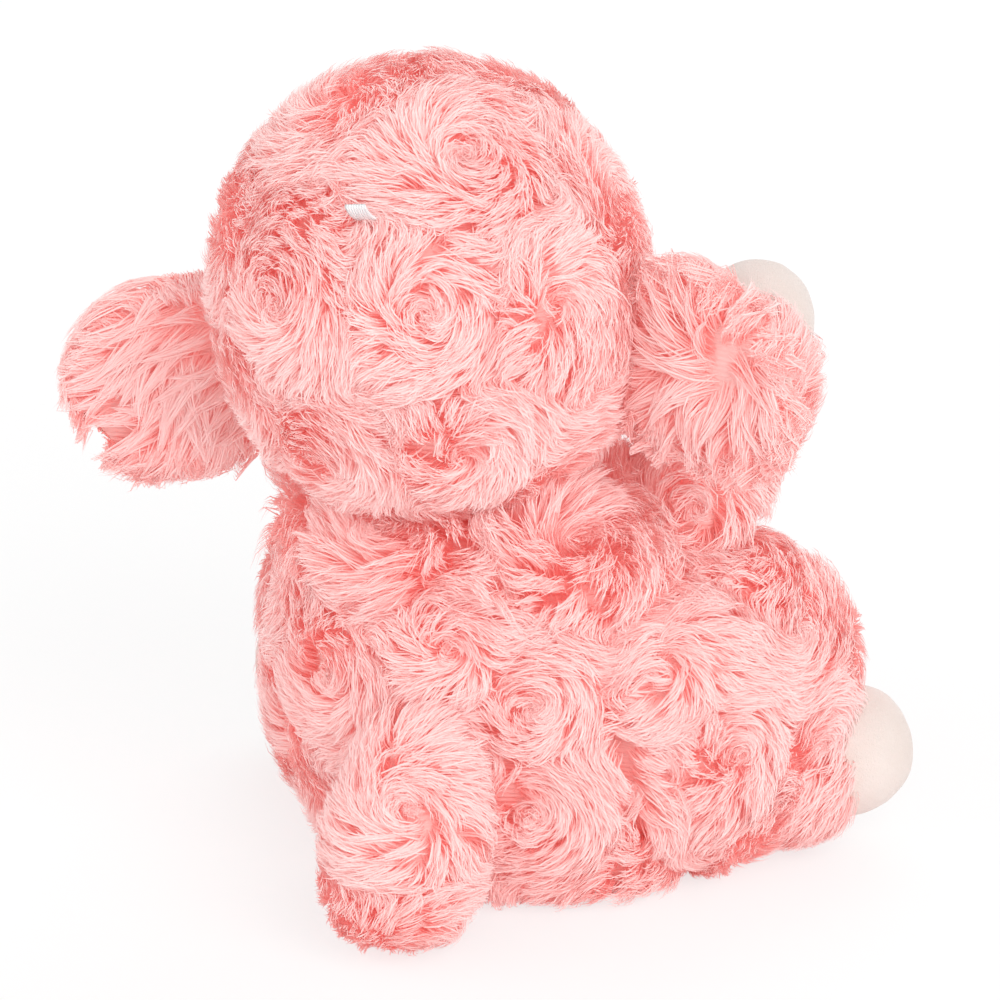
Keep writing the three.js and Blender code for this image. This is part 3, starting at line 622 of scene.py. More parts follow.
class Book:
    """Node tree of one material, or of the world."""

    def __init__(self, name: str, world: bool = False) -> None:
        """Start a material or a world that holds only its output."""
        self.owner = (bpy.data.worlds if world else bpy.data.materials).new(name)
        self.owner.use_nodes = True
        self.tree = self.owner.node_tree
        self.tree.nodes.clear()
        self.end = self.tree.nodes.new("ShaderNodeOutputWorld" if world else "ShaderNodeOutputMaterial")

    def add(self, kind: str, settings: dict[str, Any], sockets: dict[Any, Any], out: Any = 0) -> Ink:
        """Add a node.

        Args:
            kind: Type of the node.
            settings: Its properties, with a ramp's colours as stops.
            sockets: Values or links of its inputs, by name or number.
            out: Output that is wanted.

        Returns:
            That output.
        """
        node = self.tree.nodes.new(kind)
        for key, value in settings.items():
            if key == "stops":
                ramp = node.color_ramp
                while len(ramp.elements) < len(value):
                    ramp.elements.new(0.5)
                for element, (position, colour) in zip(ramp.elements, value):
                    element.position = position
                    element.color = (*colour, 1)
            else:
                setattr(node, key, value)
        for key, value in sockets.items():
            if isinstance(value, Ink):
                self.tree.links.new(value.socket, node.inputs[key])
            else:
                node.inputs[key].default_value = value
        return Ink(self, node.outputs[out])

    def noise(self, where: Ink, scale: float, detail: float = 2.0) -> Ink:
        """Smooth noise from 0 to 1 at a scale of swells to the metre."""
        return self.add("ShaderNodeTexNoise", {}, {"Vector": where, "Scale": scale, "Detail": detail})

    def place(self) -> Ink:
        """Position on the piece."""
        return self.add("ShaderNodeTexCoord", {}, {}, "Object")

    def ramp(self, value: Ink, stops: Sequence[tuple[float, Sequence[float]]]) -> Ink:
        """Colour from a value."""
        return self.add("ShaderNodeValToRGB", {"stops": stops}, {"Fac": value})

    def mix(self, share: Ink | float, a: Any, b: Any) -> Ink:
        """Colour between two."""
        sockets = {"Factor": share, 6: a, 7: b}
        return self.add("ShaderNodeMix", {"data_type": "RGBA"}, sockets, 2)

    def bump(self, height: Ink, distance: float, strength: float) -> Ink:
        """Normal tilted by a height."""
        return self.add("ShaderNodeBump", {}, {"Height": height, "Distance": distance, "Strength": strength})

    def surface(self, sockets: dict[Any, Any]) -> bpy.types.Material:
        """Finish the material with a surface of these values."""
        return self.finish(self.add("ShaderNodeBsdfPrincipled", {}, sockets))

    def finish(self, shader: Ink) -> bpy.types.Material | bpy.types.World:
        """Link a shader to the output and hand over what the tree belongs to."""
        self.tree.links.new(shader.socket, self.end.inputs["Surface"])
        return self.owner


def colour(red: int, green: int, blue: int) -> tuple[float, float, float, float]:
    """Linear colour from the 0 to 255 values of a colour on screen."""
    screen = np.array([red, green, blue]) / 255
    linear = np.where(screen <= 0.04045, screen / 12.92, ((screen + 0.055) / 1.055) ** 2.4)
    return (*linear.tolist(), 1.0)


@dataclass(frozen=True)
class PileFinish:
    """Long pile: paler towards the tip, with fine streaks, a tone for each strand with painted shade in the
    dips, and a painted root glow.
    """

    root: tuple[int, int, int] = (250, 200, 196)
    middle: tuple[int, int, int] = (251, 216, 213)
    tip: tuple[int, int, int] = (252, 225, 223)
    # colour that painted shade in the pile's dips, random tone and the streaks mix towards
    deep: tuple[int, int, int] = (250, 204, 200)
    glow: tuple[int, int, int] = (250, 186, 181)  # painted glow: emission that stands in for light coming through the strands, at their roots
    glow_strength: float = 0.075

    def make(self) -> bpy.types.Material:
        """Material of the strands, read from their own map."""
        book = Book("pink_swirl_pile")
        where = book.add("ShaderNodeUVMap", {"uv_map": "OFBake"}, {})
        tone = book.add("ShaderNodeSeparateXYZ", {}, {0: where}, 0)
        along = book.add("ShaderNodeSeparateXYZ", {}, {0: where}, 1)
        shade = book.ramp(along, [(0.0, colour(*self.root)[:3]), (0.5, colour(*self.middle)[:3]),
                                  (1.0, colour(*self.tip)[:3])])
        stretched = book.add("ShaderNodeMapping", {}, {"Vector": where, "Scale": (90.0, 2.0, 1.0)})
        streak = book.add("ShaderNodeTexNoise", {}, {"Vector": stretched, "Scale": 1.0, "Detail": 1.0})
        # Painted shade where the tone is low, in the pile's dips, plus random tone and fine streaks.
        depth = (1 - tone) * 0.5 + (streak - 0.5) * 0.35
        base = book.mix(depth, shade, colour(*self.deep))
        # Painted glow, strongest at the roots and none at the tips, given as emission.
        light = book.mix(along, colour(*self.glow), (0.0, 0.0, 0.0, 1.0))
        return book.surface({"Base Color": base, "Roughness": 0.8, "Specular IOR Level": 0.1,
                             "Emission Color": light, "Emission Strength": self.glow_strength})


@dataclass(frozen=True)
class BackingFinish:
    """Knitted backing under the long pile."""

    light: tuple[int, int, int] = (251, 206, 202)
    dark: tuple[int, int, int] = (250, 188, 182)

    def make(self) -> bpy.types.Material:
        """Material with the rows of a fine knit and soft patches."""
        book = Book("pink_backing")
        where = book.place()
        rows = book.add("ShaderNodeTexWave", {"wave_type": "BANDS", "bands_direction": "Z"},
                        {"Vector": where, "Scale": 220.0, "Distortion": 1.5, "Detail Scale": 2.0})
        patch = book.noise(where, 60.0)
        base = book.mix(patch, colour(*self.dark), colour(*self.light))
        normal = book.bump(rows, 0.0004, 0.6)
        return book.surface({"Base Color": base, "Roughness": 0.9, "Normal": normal, "Specular IOR Level": 0.2})


@dataclass(frozen=True)
class PlushFinish:
    """Short smooth plush: a fine nap that is brushed here and there."""

    name: str
    light: tuple[int, int, int]
    dark: tuple[int, int, int]

    def make(self) -> bpy.types.Material:
        """Material with the nap as a bump and the brushed patches as tone."""
        book = Book(self.name)
        where = book.place()
        nap = book.noise(where, 2600.0, 1.0)
        brushed = book.noise(where, 70.0, 3.0)
        share = (brushed - 0.5) * 1.6 + 0.6 + (nap - 0.5) * 0.5
        base = book.mix(share, colour(*self.dark), colour(*self.light))
        normal = book.bump(nap * 0.7 + brushed * 0.6, 0.0005, 0.7)
        return book.surface({"Base Color": base, "Roughness": 0.85, "Normal": normal, "Specular IOR Level": 0.2,
                             "Sheen Weight": 0.35, "Sheen Roughness": 0.35})


@dataclass(frozen=True)
class ThreadFinish:
    """Satin-stitch thread."""

    name: str
    light: tuple[int, int, int]
    dark: tuple[int, int, int]
    across: str = "X"

    def make(self) -> bpy.types.Material:
        """Material with a line for each thread."""
        book = Book(self.name)
        where = book.place()
        line = book.add("ShaderNodeTexWave", {"wave_type": "BANDS", "bands_direction": self.across},
                        {"Vector": where, "Scale": 420.0, "Distortion": 0.6})
        base = book.mix(line, colour(*self.dark), colour(*self.light))
        normal = book.bump(line, 0.0003, 0.8)
        return book.surface({"Base Color": base, "Roughness": 0.45, "Normal": normal, "Sheen Weight": 0.2})


@dataclass(frozen=True)
class GlossFinish:
    """Polished or moulded plastic with the faint unevenness of a moulding."""

    name: str
    tone: tuple[int, int, int]
    roughness: float

    def make(self) -> bpy.types.Material:
        """Material whose gloss varies a little."""
        book = Book(self.name)
        where = book.place()
        cloud = book.noise(where, 300.0)
        base = book.mix(cloud, colour(*self.tone), colour(*(min(255, v + 10) for v in self.tone)))
        return book.surface({"Base Color": base, "Roughness": cloud * 0.1 + self.roughness})


class Wardrobe:
    """All finishes of the lamb."""

    def __init__(self) -> None:
        """Make each material once."""
        self.pile = PileFinish().make()
        self.backing = BackingFinish().make()
        self.cream = PlushFinish("cream_plush", (232, 220, 214), (225, 211, 203)).make()
        self.canvas = PlushFinish("canvas", (232, 226, 210), (210, 200, 180)).make()
        self.label = ThreadFinish("white_ribbon", (252, 252, 252), (238, 238, 240)).make()
        self.thread = ThreadFinish("pink_thread", (236, 138, 130), (204, 96, 92)).make()
        self.eye = GlossFinish("eye_black", (20, 16, 14), 0.08).make()
        self.washer = GlossFinish("washer_plastic", (226, 226, 220), 0.45).make()


# Stuffing by simulation

def puff(obj: bpy.types.Object, most: float, voxel: float = 4 * MM) -> None:
    """Blow a stuffed piece up as cloth under pressure, so that its skin draws tight and smooth.

    The mesh is remeshed evenly, simulated for 20 frames without gravity, and each corner keeps within a
    distance of where it was. One subdivision smooths the result.

    Args:
        obj: The piece, whose mesh is replaced.
        most: Furthest that a corner may move.
        voxel: Size of the remeshed faces.
    """
    scene = bpy.context.scene
    bpy.context.view_layer.objects.active = obj
    remesh = obj.modifiers.new("even", "REMESH")
    remesh.mode, remesh.voxel_size = "VOXEL", voxel
    bpy.ops.object.modifier_apply(modifier=remesh.name)
    rest = np.empty(len(obj.data.vertices) * 3, np.float32)
    obj.data.vertices.foreach_get("co", rest)
    cloth = obj.modifiers.new("stuffed", "CLOTH")
    cloth.settings.use_pressure = True
    cloth.settings.uniform_pressure_force = 4.0
    cloth.settings.effector_weights.gravity = 0.0
    for number in range(1, 21):
        scene.frame_set(number)
    bpy.ops.object.modifier_apply(modifier=cloth.name)
    scene.frame_set(1)
    now = np.empty_like(rest)
    obj.data.vertices.foreach_get("co", now)
    move = (now - rest).reshape(-1, 3)
    far = np.linalg.norm(move, axis=1, keepdims=True)
    move *= np.minimum(1, most / np.maximum(far, 1e-9))
    obj.data.vertices.foreach_set("co", rest + move.ravel())
    smooth = obj.modifiers.new("smooth", "SUBSURF")
    smooth.levels = smooth.render_levels = 1
    bpy.ops.object.modifier_apply(modifier=smooth.name)
    obj.data.polygons.foreach_set("use_smooth", np.ones(len(obj.data.polygons), bool))
    obj.data.update()


# Sub-assemblies

@dataclass(frozen=True)
class Torso:
    """Pear-shaped body that leans back and a little to its left, with the dome of the neck on top."""

    seat: float = 61 * MM
    belly: float = 68 * MM
    belly_height: float = 40 * MM
    chest: float = 58 * MM
    chest_height: float = 90 * MM
    shoulder: float = 42 * MM
    shoulder_height: float = 107 * MM
    dome: float = 38 * MM
    neck_height: float = 98 * MM
    flatness: float = 118 / 136  # depth against width
    lean_back: float = 9.0
    lean_left: float = 4.0
    backing: float = 6.4 * MM  # backing inside the outline
    pouch: tuple[float, float] = (23 * MM, 8 * MM)  # half width and half height
    pouch_rise: float = 17.3 * MM
    dent_room: float = 1.2 * MM  # between the skin and what presses into it
    rosettes: tuple[tuple[float, float], ...] = (  # those that show: turn and share of the outline
        (0.405, 0.751), (0.208, 0.755), (0.285, 0.625), (0.18, 0.558), (0.34, 0.558), (0.328, 0.408))

    def lean(self, x: float, y: float, z: float) -> Array:
        """Where a point of the upright body is when the body leans."""
        left, back = math.tan(math.radians(self.lean_left)), math.tan(math.radians(self.lean_back))
        return np.array([x + z * left, y + z * back, z])

    def form(self, wall: float) -> Swell:
        """Body form, drawn in by a wall."""
        side = smooth_outline([
            (self.seat - wall, wall),
            (self.belly - wall, self.belly_height),
            (self.chest - wall, self.chest_height),
            (self.shoulder - wall, self.shoulder_height - wall / 2),
            (self.dome * 0.8 - wall, self.neck_height + self.dome * 0.5 - wall / 2),
            (self.dome * 0.45 - wall / 2, self.neck_height + self.dome * 0.88 - wall),
            (0, self.neck_height + self.dome - wall),
        ])
        flat = np.array([[0, wall], [self.seat / 2, wall]])
        lean = np.eye(3)
        lean[0, 2], lean[1, 2] = math.tan(math.radians(self.lean_left)), math.tan(math.radians(self.lean_back))
        return Swell(np.vstack([flat, side]), placed((0, 0, 0), lean @ np.diag([1, self.flatness, 1])))

    def build(self, wardrobe: Wardrobe, around: Sequence[Swell]) -> None:
        """Make the stuffed skin, with dents for what presses into it, and its coat.

        Args:
            wardrobe: The finishes.
            around: Forms of the limbs, the tail and the head.
        """
        skin = self.form(self.backing)
        corners, quads, tris = skin.skin(72, 60)
        middle = self.lean(0, 0, self.belly_height)
        for other in around:
            _, _, outside = other.nearest(corners)
            inward = unit(middle - corners)
            corners = corners + inward * np.maximum(0, self.dent_room - outside)[:, None]
        piece = settle(build_piece("body_skin", corners, quads, tris), "torso", "pink_pile", wardrobe.backing,
                       "body_cover", "body_stuffing")
        pouch = Swell(arch(2.4) * np.array(self.pouch), placed((0, 0, self.pouch_rise)))
        settle(round_piece("bean_pouch", pouch, 32, 20), "torso", "canvas", wardrobe.canvas, "seat_bean_pouch")
        coat = Coat(skin, Pile(ruff=1.5), 11, self.rosettes)
        coat.grow("body", "torso", wardrobe.pile, clear_of(around))


@dataclass(frozen=True)
class Head:
    """Round head, tilted to its left, with a short-pile face, ears and a bare label."""

    width: float = 122 * MM
    depth: float = 118 * MM
    height: float = 126 * MM
    rise: float = 72 * MM
    setback: float = 9 * MM
    tilt: float = 8.0
    cheeks: float = 2.35  # fullness of the lower half, where 2 is an ellipse
    neck: tuple[float, float, float] = (6.85 * MM, 15.52 * MM, 98 * MM)
    face_width: float = 64 * MM
    face_depth: float = 84 * MM
    face_height: float = 68 * MM
    face_forward: float = 38 * MM
    face_drop: float = 9 * MM
    face_tuck: float = 8 * MM
    eye_side: float = 40.0
    eye_up: float = 30.0
    backing: float = 6.4 * MM
    rosettes: tuple[tuple[float, float], ...] = ((0.37, 0.755), (0.318, 0.538), (0.335, 0.312), (0.42, 0.525))
    label_angle: float = 31.0
    label_side: float = 9 * MM
    label_clear: float = 7 * MM  # room in the fur round the label
    label_half: float = 2.9  # millimetres, half of the width
    label_ends: tuple[float, float] = (-6, 5)  # millimetres from the seam, inside and outside
    label_curl: float = 60.0  # bend to each square of the way out
    ring_angles: tuple[float, float] = (46, 17)  # of the neck's ring, from the dome's axis
    ring_radii: tuple[float, float] = (40.1 * MM, 38.6 * MM)
    ring_sides: int = 64

    def place(self) -> Array:
        """Frame of the head at the neck."""
        return placed(self.neck, turn("y", self.tilt))

    def skull(self, wall: float) -> Swell:
        """Head form, drawn in by a wall."""
        across, back, up = (size / 2 - wall for size in (self.width, self.depth, self.height))
        local = placed((0, self.setback, self.rise), np.diag([1, back / across, 1]))
        return Swell(arch(2.0, self.cheeks) * np.array([across, up]), self.place() @ local)

    def half_width(self, drop: float) -> float:
        """Half width of the head at a drop below its middle."""
        return self.width / 2 * (1 - (drop / (self.height / 2)) ** self.cheeks) ** (1 / self.cheeks)

    def face(self, grow: float) -> Swell:
        """Whole face form, whose axis points ahead, grown by a room."""
        across, ahead, up = (size / 2 + grow for size in (self.face_width, self.face_depth, self.face_height))
        matrix = turn("x", 90) @ np.diag([1, up / across, 1])
        local = placed((0, self.setback - self.face_forward, self.rise - self.face_drop), matrix)
        return Swell(arch(2.0) * np.array([across, ahead]), self.place() @ local)

    def face_panel(self) -> Swell:
        """Front of the face, with a flat back where it is sewn in behind the head's cover."""
        whole = self.face(0)
        back = self.depth / 2 - self.face_tuck - self.face_forward
        front = whole.outline[whole.outline[:, 1] > back]
        rim = self.face_width / 2 * math.sqrt(1 - (back / (self.face_depth / 2)) ** 2)
        return Swell(np.vstack([[0, back], [rim * 0.6, back], [rim, back], front]), whole.place)

    def face_point(self, sideways: float, upwards: float, gap: float) -> Array:
        """Place on the face, in the head's frame, at angles from its middle."""
        a, b = math.radians(sideways), math.radians(upwards)
        centre = np.array([0, self.setback - self.face_forward, self.rise - self.face_drop])
        return centre + np.array([
            math.sin(a) * math.cos(b) * (self.face_width / 2 + gap),
            -math.cos(a) * math.cos(b) * (self.face_depth / 2 + gap),
            math.sin(b) * (self.face_height / 2 + gap),
        ])

    def build(self, wardrobe: Wardrobe, around: Sequence[Swell]) -> None:
        """Make the skin, the coat, the face and the label."""
        skull = self.skull(self.backing)
        piece = settle(round_piece("head_skin", skull, 64, 48), "head", "pink_pile", wardrobe.backing,
                       "head_cover", "head_stuffing")
        coat = Coat(skull, Pile(), 21, self.rosettes)
        label_room = Swell(arch(2.0) * self.label_clear, self.label_place())
        coat.grow("head", "head", wardrobe.pile,
                  clear_of([self.face(1 * MM), label_room, *around]))
        panel = round_piece("face_pad", self.face_panel(), 48, 30)
        puff(panel, 1.5 * MM)
        settle(panel, "head", "cream_plush", wardrobe.cream, "face_panel")
        self.build_eyes(wardrobe)
        self.build_nose(wardrobe)
        self.build_label(wardrobe)
        self.build_neck(wardrobe)

    def build_eyes(self, wardrobe: Wardrobe) -> None:
        """Polished domes on stems, at both sides of the face."""
        stem = [(0, -10), (2, -10), (2, 0.3)]
        dome = [(5.2, 0.3), (5.5, 0.7), (5.4, 1.4), (4.9, 2.3), (3.9, 3.2), (2.5, 3.8), (1.2, 4.0), (0, 4.05)]
        outline = np.array(stem + dome) * MM
        for side in Side:
            spot = self.face_point(side.value * self.eye_side, self.eye_up, 0)
            centre = np.array([0, self.setback - self.face_forward, self.rise - self.face_drop])
            half = np.array([self.face_width, self.face_depth, self.face_height]) / 2
            local = placed(spot, aim((spot - centre) / half**2))
            eye = round_piece(f"{side.word}_eye_dome", Swell(outline, self.place() @ local), 32, 40)
            settle(eye, "head", "eye_black", wardrobe.eye, f"{side.word}_eye")
            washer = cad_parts[f"{side.word}_eye_washer"]
            washer.data.materials.clear()
            washer.data.materials.append(wardrobe.washer)

    def build_nose(self, wardrobe: Wardrobe) -> None:
        """Satin-stitched nose and the thread of the mouth."""
        spot = self.face_point(0, 0, 0)
        pad = Swell(arch(2.2) * np.array([8.5, 2.9]) * MM,
                    self.place() @ placed(spot, turn("x", 90) @ np.diag([1, 0.65, 1])))
        settle(round_piece("nose_stitches", pad, 48, 24), "head", "thread", wardrobe.thread, "nose")
        share = np.linspace(-1, 1, 41)
        smile = np.array([self.face_point(26 * s, -36 + 10 * s * s, 0.9 * MM) for s in share])
        line = np.array([self.face_point(0, -11 - (s + 1) / 2 * 25, 0.9 * MM) for s in share])
        tubes = [self.thread(path) for path in (smile, line)]
        first = len(tubes[0][0])
        corners = np.vstack([tubes[0][0], tubes[1][0]]) @ self.place()[:3, :3].T + self.place()[:3, 3]
        quads = np.vstack([tubes[0][1], tubes[1][1] + first])
        tris = np.vstack([tubes[0][2], tubes[1][2] + first])
        mouth = build_piece("mouth_thread", corners, quads, tris)
        settle(mouth, "head", "thread", wardrobe.thread, "mouth_stitch")

    def thread(self, path: Array, sides: int = 8) -> tuple[Array, Array, Array]:
        """Round thread along a path, a little thinner between its stitches.

        The ring's radius is 0.8 mm times a wave along the path. The ends close at points on the path.
        """
        along = unit(np.gradient(path, axis=0))
        across = unit(np.cross(along, np.array([0.0, -1.0, 0.2])))
        other = np.cross(along, across)
        angle = 2 * math.pi * np.arange(sides) / sides
        radius = 0.8 * MM * (0.88 + 0.12 * np.abs(np.sin(np.arange(len(path)) * math.pi / 5)))
        ring = np.cos(angle)[None, :, None] * across[:, None] + np.sin(angle)[None, :, None] * other[:, None]
        corners = path[:, None] + ring * radius[:, None, None]
        tips = np.stack([path[0] - along[0] * 0.5 * MM, path[-1] + along[-1] * 0.5 * MM])
        return (np.vstack([corners.reshape(-1, 3), tips]), *ring_faces(len(path), sides))

    def label_place(self) -> Array:
        """Frame of the label where it leaves the seam, with +Z out of the head."""
        rise = math.radians(self.label_angle)
        spot = (-self.label_side, self.setback + math.cos(rise) * self.depth / 2,
                self.rise + math.sin(rise) * self.height / 2)
        return self.place() @ placed(spot, turn("x", self.label_angle - 90))

    def build_label(self, wardrobe: Wardrobe) -> None:
        """Bare woven label that sticks out of the seam at the back of the head and curls a little.

        Across and along are metres from the middle of the seam. The label bends down with the square of the
        way out, and its two faces are a constant thickness apart.
        """
        across, along = np.meshgrid(np.linspace(-self.label_half, self.label_half, 9) * MM,
                                    np.linspace(*self.label_ends, 13) * MM)
        bend = np.maximum(along, 0) ** 2 * self.label_curl
        sheet = np.stack([across, -bend, along], axis=-1)
        thick = np.array([0, 0.35 * MM, 0])
        faces = np.concatenate([(sheet - thick).reshape(-1, 3), (sheet + thick).reshape(-1, 3)])
        rows, columns = across.shape
        index = np.arange(rows * columns).reshape(rows, columns)
        lower = np.stack([index[:-1, :-1], index[:-1, 1:], index[1:, 1:], index[1:, :-1]], axis=-1)
        lower = lower.reshape(-1, 4)
        rim = np.concatenate([index[0, :-1], index[:-1, -1], index[-1, :0:-1], index[:0:-1, 0]])
        after = np.roll(rim, -1)
        shift = rows * columns
        wall = np.column_stack([rim, rim + shift, after + shift, after])
        quads = np.vstack([lower[:, ::-1], lower + shift, wall[:, ::-1]])
        place = self.label_place()
        corners = faces @ place[:3, :3].T + place[:3, 3]
        label = build_piece("label_ribbon", corners, quads, NO_TRIS)
        settle(label, "head", "satin_label", wardrobe.label, "head_label")

    def build_neck(self, wardrobe: Wardrobe) -> None:
        """Ring of fabric between the body's dome and the head."""
        angle, sides = np.radians(np.linspace(*self.ring_angles, 14)), self.ring_sides
        arc = np.column_stack([np.sin(angle), np.cos(angle)])
        loop = np.vstack([arc * self.ring_radii[0], arc[::-1] * self.ring_radii[1]])
        turns = 2 * math.pi * np.arange(sides) / sides
        corners = np.stack([loop[:, None, 0] * np.cos(turns), loop[:, None, 0] * np.sin(turns),
                            np.broadcast_to(loop[:, None, 1], (len(loop), sides))], axis=-1)
        corners = corners + np.asarray(self.neck)
        index = np.arange(len(loop) * sides).reshape(len(loop), sides)
        after, below = np.roll(index, -1, axis=1), np.roll(index, -1, axis=0)
        quads = np.stack([index, after, np.roll(below, -1, axis=1), below], axis=-1).reshape(-1, 4)
        ring = build_piece("neck_ring", corners.reshape(-1, 3), quads, NO_TRIS)
        settle(ring, "neck", "pink_pile", wardrobe.backing, "neck_gusset")


@dataclass(frozen=True)
class Ear:
    """Broad floppy ear: long pile on its back and edge, short pile inside."""

    side: Side
    head: Head
    length: float = 52 * MM
    width: float = 52 * MM
    thickness: float = 13 * MM
    root_width: float = 47 * MM
    drop: float = 18 * MM
    droop: float = 18.0
    sweep: float = 20.0
    standoff: float = 4.5 * MM
    backing: float = 3.5 * MM
    sewn_in: float = 9 * MM  # depth under the head's outline where the fur starts
    edge: float = 0.15  # lean of the surface where the back's long pile meets the front's short pile

    def place(self) -> Array:
        """Frame of the ear's root, with +Z out along the ear and +Y towards the back."""
        sign, head = self.side.value, self.head
        across = head.half_width(self.drop) + self.standoff
        matrix = turn("z", sign * self.sweep) @ turn("y", sign * (90 + self.droop))
        return head.place() @ placed((sign * across, head.setback, head.rise - self.drop), matrix)

    def leaf(self, wall: float) -> Swell:
        """Ear form, drawn in by a wall."""
        outline = smooth_outline([
            (0, -3 * MM),
            (self.root_width / 2 - wall, 0),
            (self.width / 2 - wall, self.length * 0.45),
            (self.width * 0.33 - wall, self.length * 0.8 - wall / 2),
            (0, self.length * 0.93 - wall),
        ])
        flat = (self.thickness / 2 - wall) / (self.width / 2 - wall)
        return Swell(outline, self.place() @ placed((0, 0, 0), np.diag([1, flat, 1])))

    def build(self, wardrobe: Wardrobe) -> None:
        """Make the leaf, its lining and its coat."""
        word = self.side.word
        leaf = self.leaf(self.backing)
        piece = round_piece(f"{word}_ear_leaf", leaf, 48, 32)
        settle(piece, f"{word}_ear", "pink_pile", wardrobe.backing, f"{word}_ear_back")
        rim = smooth_outline([(0, 9 * MM), (21 * MM, 23.4 * MM), (10.6 * MM, 42.2 * MM), (0, 47 * MM)])
        lining_form = Swell(rim, self.place() @ placed((0, -2.4 * MM, 0), np.diag([1, 0.14, 1])))
        lining = round_piece(f"{word}_ear_inside", lining_form, 40, 28)
        settle(lining, f"{word}_ear", "cream_plush", wardrobe.cream, f"{word}_ear_lining")
        pile = Pile(height=6 * MM, length=17 * MM, rosette=200 * MM, swirl=15.0, inward=0.0, cling=0.3,
                    lay=(0.0, 0.0, -0.5), lock_area=14 * MM * MM, strands=50, gather=0.88, stray=14.0,
                    fray=0.4 * MM, ragged=0.5)
        parting = {Side.LEFT: (0.355, 0.192), Side.RIGHT: (0.23, 0.6)}
        coat = Coat(leaf, pile, 31 + self.side.value, fixed=[parting[self.side]])
        backwards = self.place()[:3, 1]
        root = (self.head.skull(self.sewn_in), 0.0)
        coat.grow(f"{word}_ear", f"{word}_ear", wardrobe.pile, [root], Facing(backwards, -self.edge))
        short = Pile(height=4 * MM, length=6 * MM, rosette=200 * MM)
        Coat(leaf, short, 35 + self.side.value).grow(
            f"{word}_ear_front", f"{word}_ear", wardrobe.pile, [root, (lining_form, 1.5 * MM)],
            Facing(-backwards, self.edge))


@dataclass(frozen=True)
class Hoof:
    """Short-pile hoof along its leg's axis."""

    width: float
    sleeve: float
    reach: float
    tuck: float = 12 * MM

    def form(self, place: Array) -> Swell:
        """Hoof form, closed behind the end of its sleeve."""
        girth = self.width / 2
        outline = smooth_outline([
            (girth * 0.9, self.sleeve - self.tuck),
            (girth, self.sleeve),
            (girth, self.reach - self.width * 0.42),
            (girth * 0.68, self.reach - self.width * 0.11),
            (0, self.reach),
        ])
        back = np.array([[0, self.sleeve - self.tuck], [girth * 0.5, self.sleeve - self.tuck]])
        return Swell(np.vstack([back, outline]), place)

    def build(self, name: str, place: Array, body: str, wardrobe: Wardrobe) -> None:
        """Make the stuffed hoof."""
        hoof = round_piece(f"{name}_pad", self.form(place), 40, 36)
        puff(hoof, 1.2 * MM, 3.5 * MM)
        settle(hoof, body, "cream_plush", wardrobe.cream, name)


@dataclass(frozen=True)
class FrontLeg:
    """Front leg that reaches ahead from the side of the chest."""

    side: Side
    torso: Torso
    raise_angle: float
    root: float = 17 * MM
    girth: float = 21 * MM
    cuff: float = 20 * MM
    sleeve_length: float = 64 * MM
    toe_in: float = 6.0
    shoulder_angle: float = 26.0
    pivot_height: float = 105 * MM
    standoff: float = 3 * MM
    lowest: float = 98.3 * MM
    backing: float = 5.8 * MM
    hoof: Hoof = Hoof(34 * MM, 64 * MM, 92 * MM)

    def place(self) -> Array:
        """Frame of the shoulder, with +Z out along the leg."""
        sign, torso, angle = self.side.value, self.torso, math.radians(self.shoulder_angle)
        x = sign * math.cos(angle) * (torso.chest + self.standoff)
        y = -math.sin(angle) * (torso.chest * torso.flatness + self.standoff)
        up, across = math.radians(self.raise_angle), math.radians(self.toe_in)
        direction = (-sign * math.cos(up) * math.sin(across), -math.cos(up) * math.cos(across), math.sin(up))
        return placed(torso.lean(x, y, self.pivot_height), aim(direction))

    def sleeve(self, wall: float) -> Swell:
        """Sleeve form, drawn in by a wall."""
        root = self.root - wall
        curve = smooth_outline([
            (root, 0),
            (self.girth - wall, self.sleeve_length * 0.55),
            (self.cuff - wall, self.sleeve_length - 3 * MM),
            (0, self.sleeve_length - wall / 3),
        ])
        return Swell(np.vstack([half_ball(root), curve]), self.place())

    def build(self, wardrobe: Wardrobe, around: Sequence[Swell]) -> None:
        """Make the skin, the coat and the hoof."""
        name, sleeve = f"{self.side.word}_front", self.sleeve(self.backing)
        corners, quads, tris = sleeve.skin(40, 36)
        corners[:, 2] = np.maximum(corners[:, 2], self.lowest + 1 * MM)
        skin = build_piece(f"{name}_leg_skin", corners, quads, tris)
        settle(skin, f"{name}_leg", "pink_pile", wardrobe.backing, f"{name}_leg_cover", f"{name}_leg_stuffing")
        coat = Coat(sleeve, Pile(height=7.5 * MM, cling=0.85), 41 + self.side.value, [(0.355, 0.102)])
        hoof = self.hoof.form(self.place())
        coat.grow(f"{name}_leg", f"{name}_leg", wardrobe.pile,
                  [(hoof, -1 * MM)] + clear_of(around))
        self.hoof.build(f"{name}_hoof", self.place(), f"{name}_leg", wardrobe)


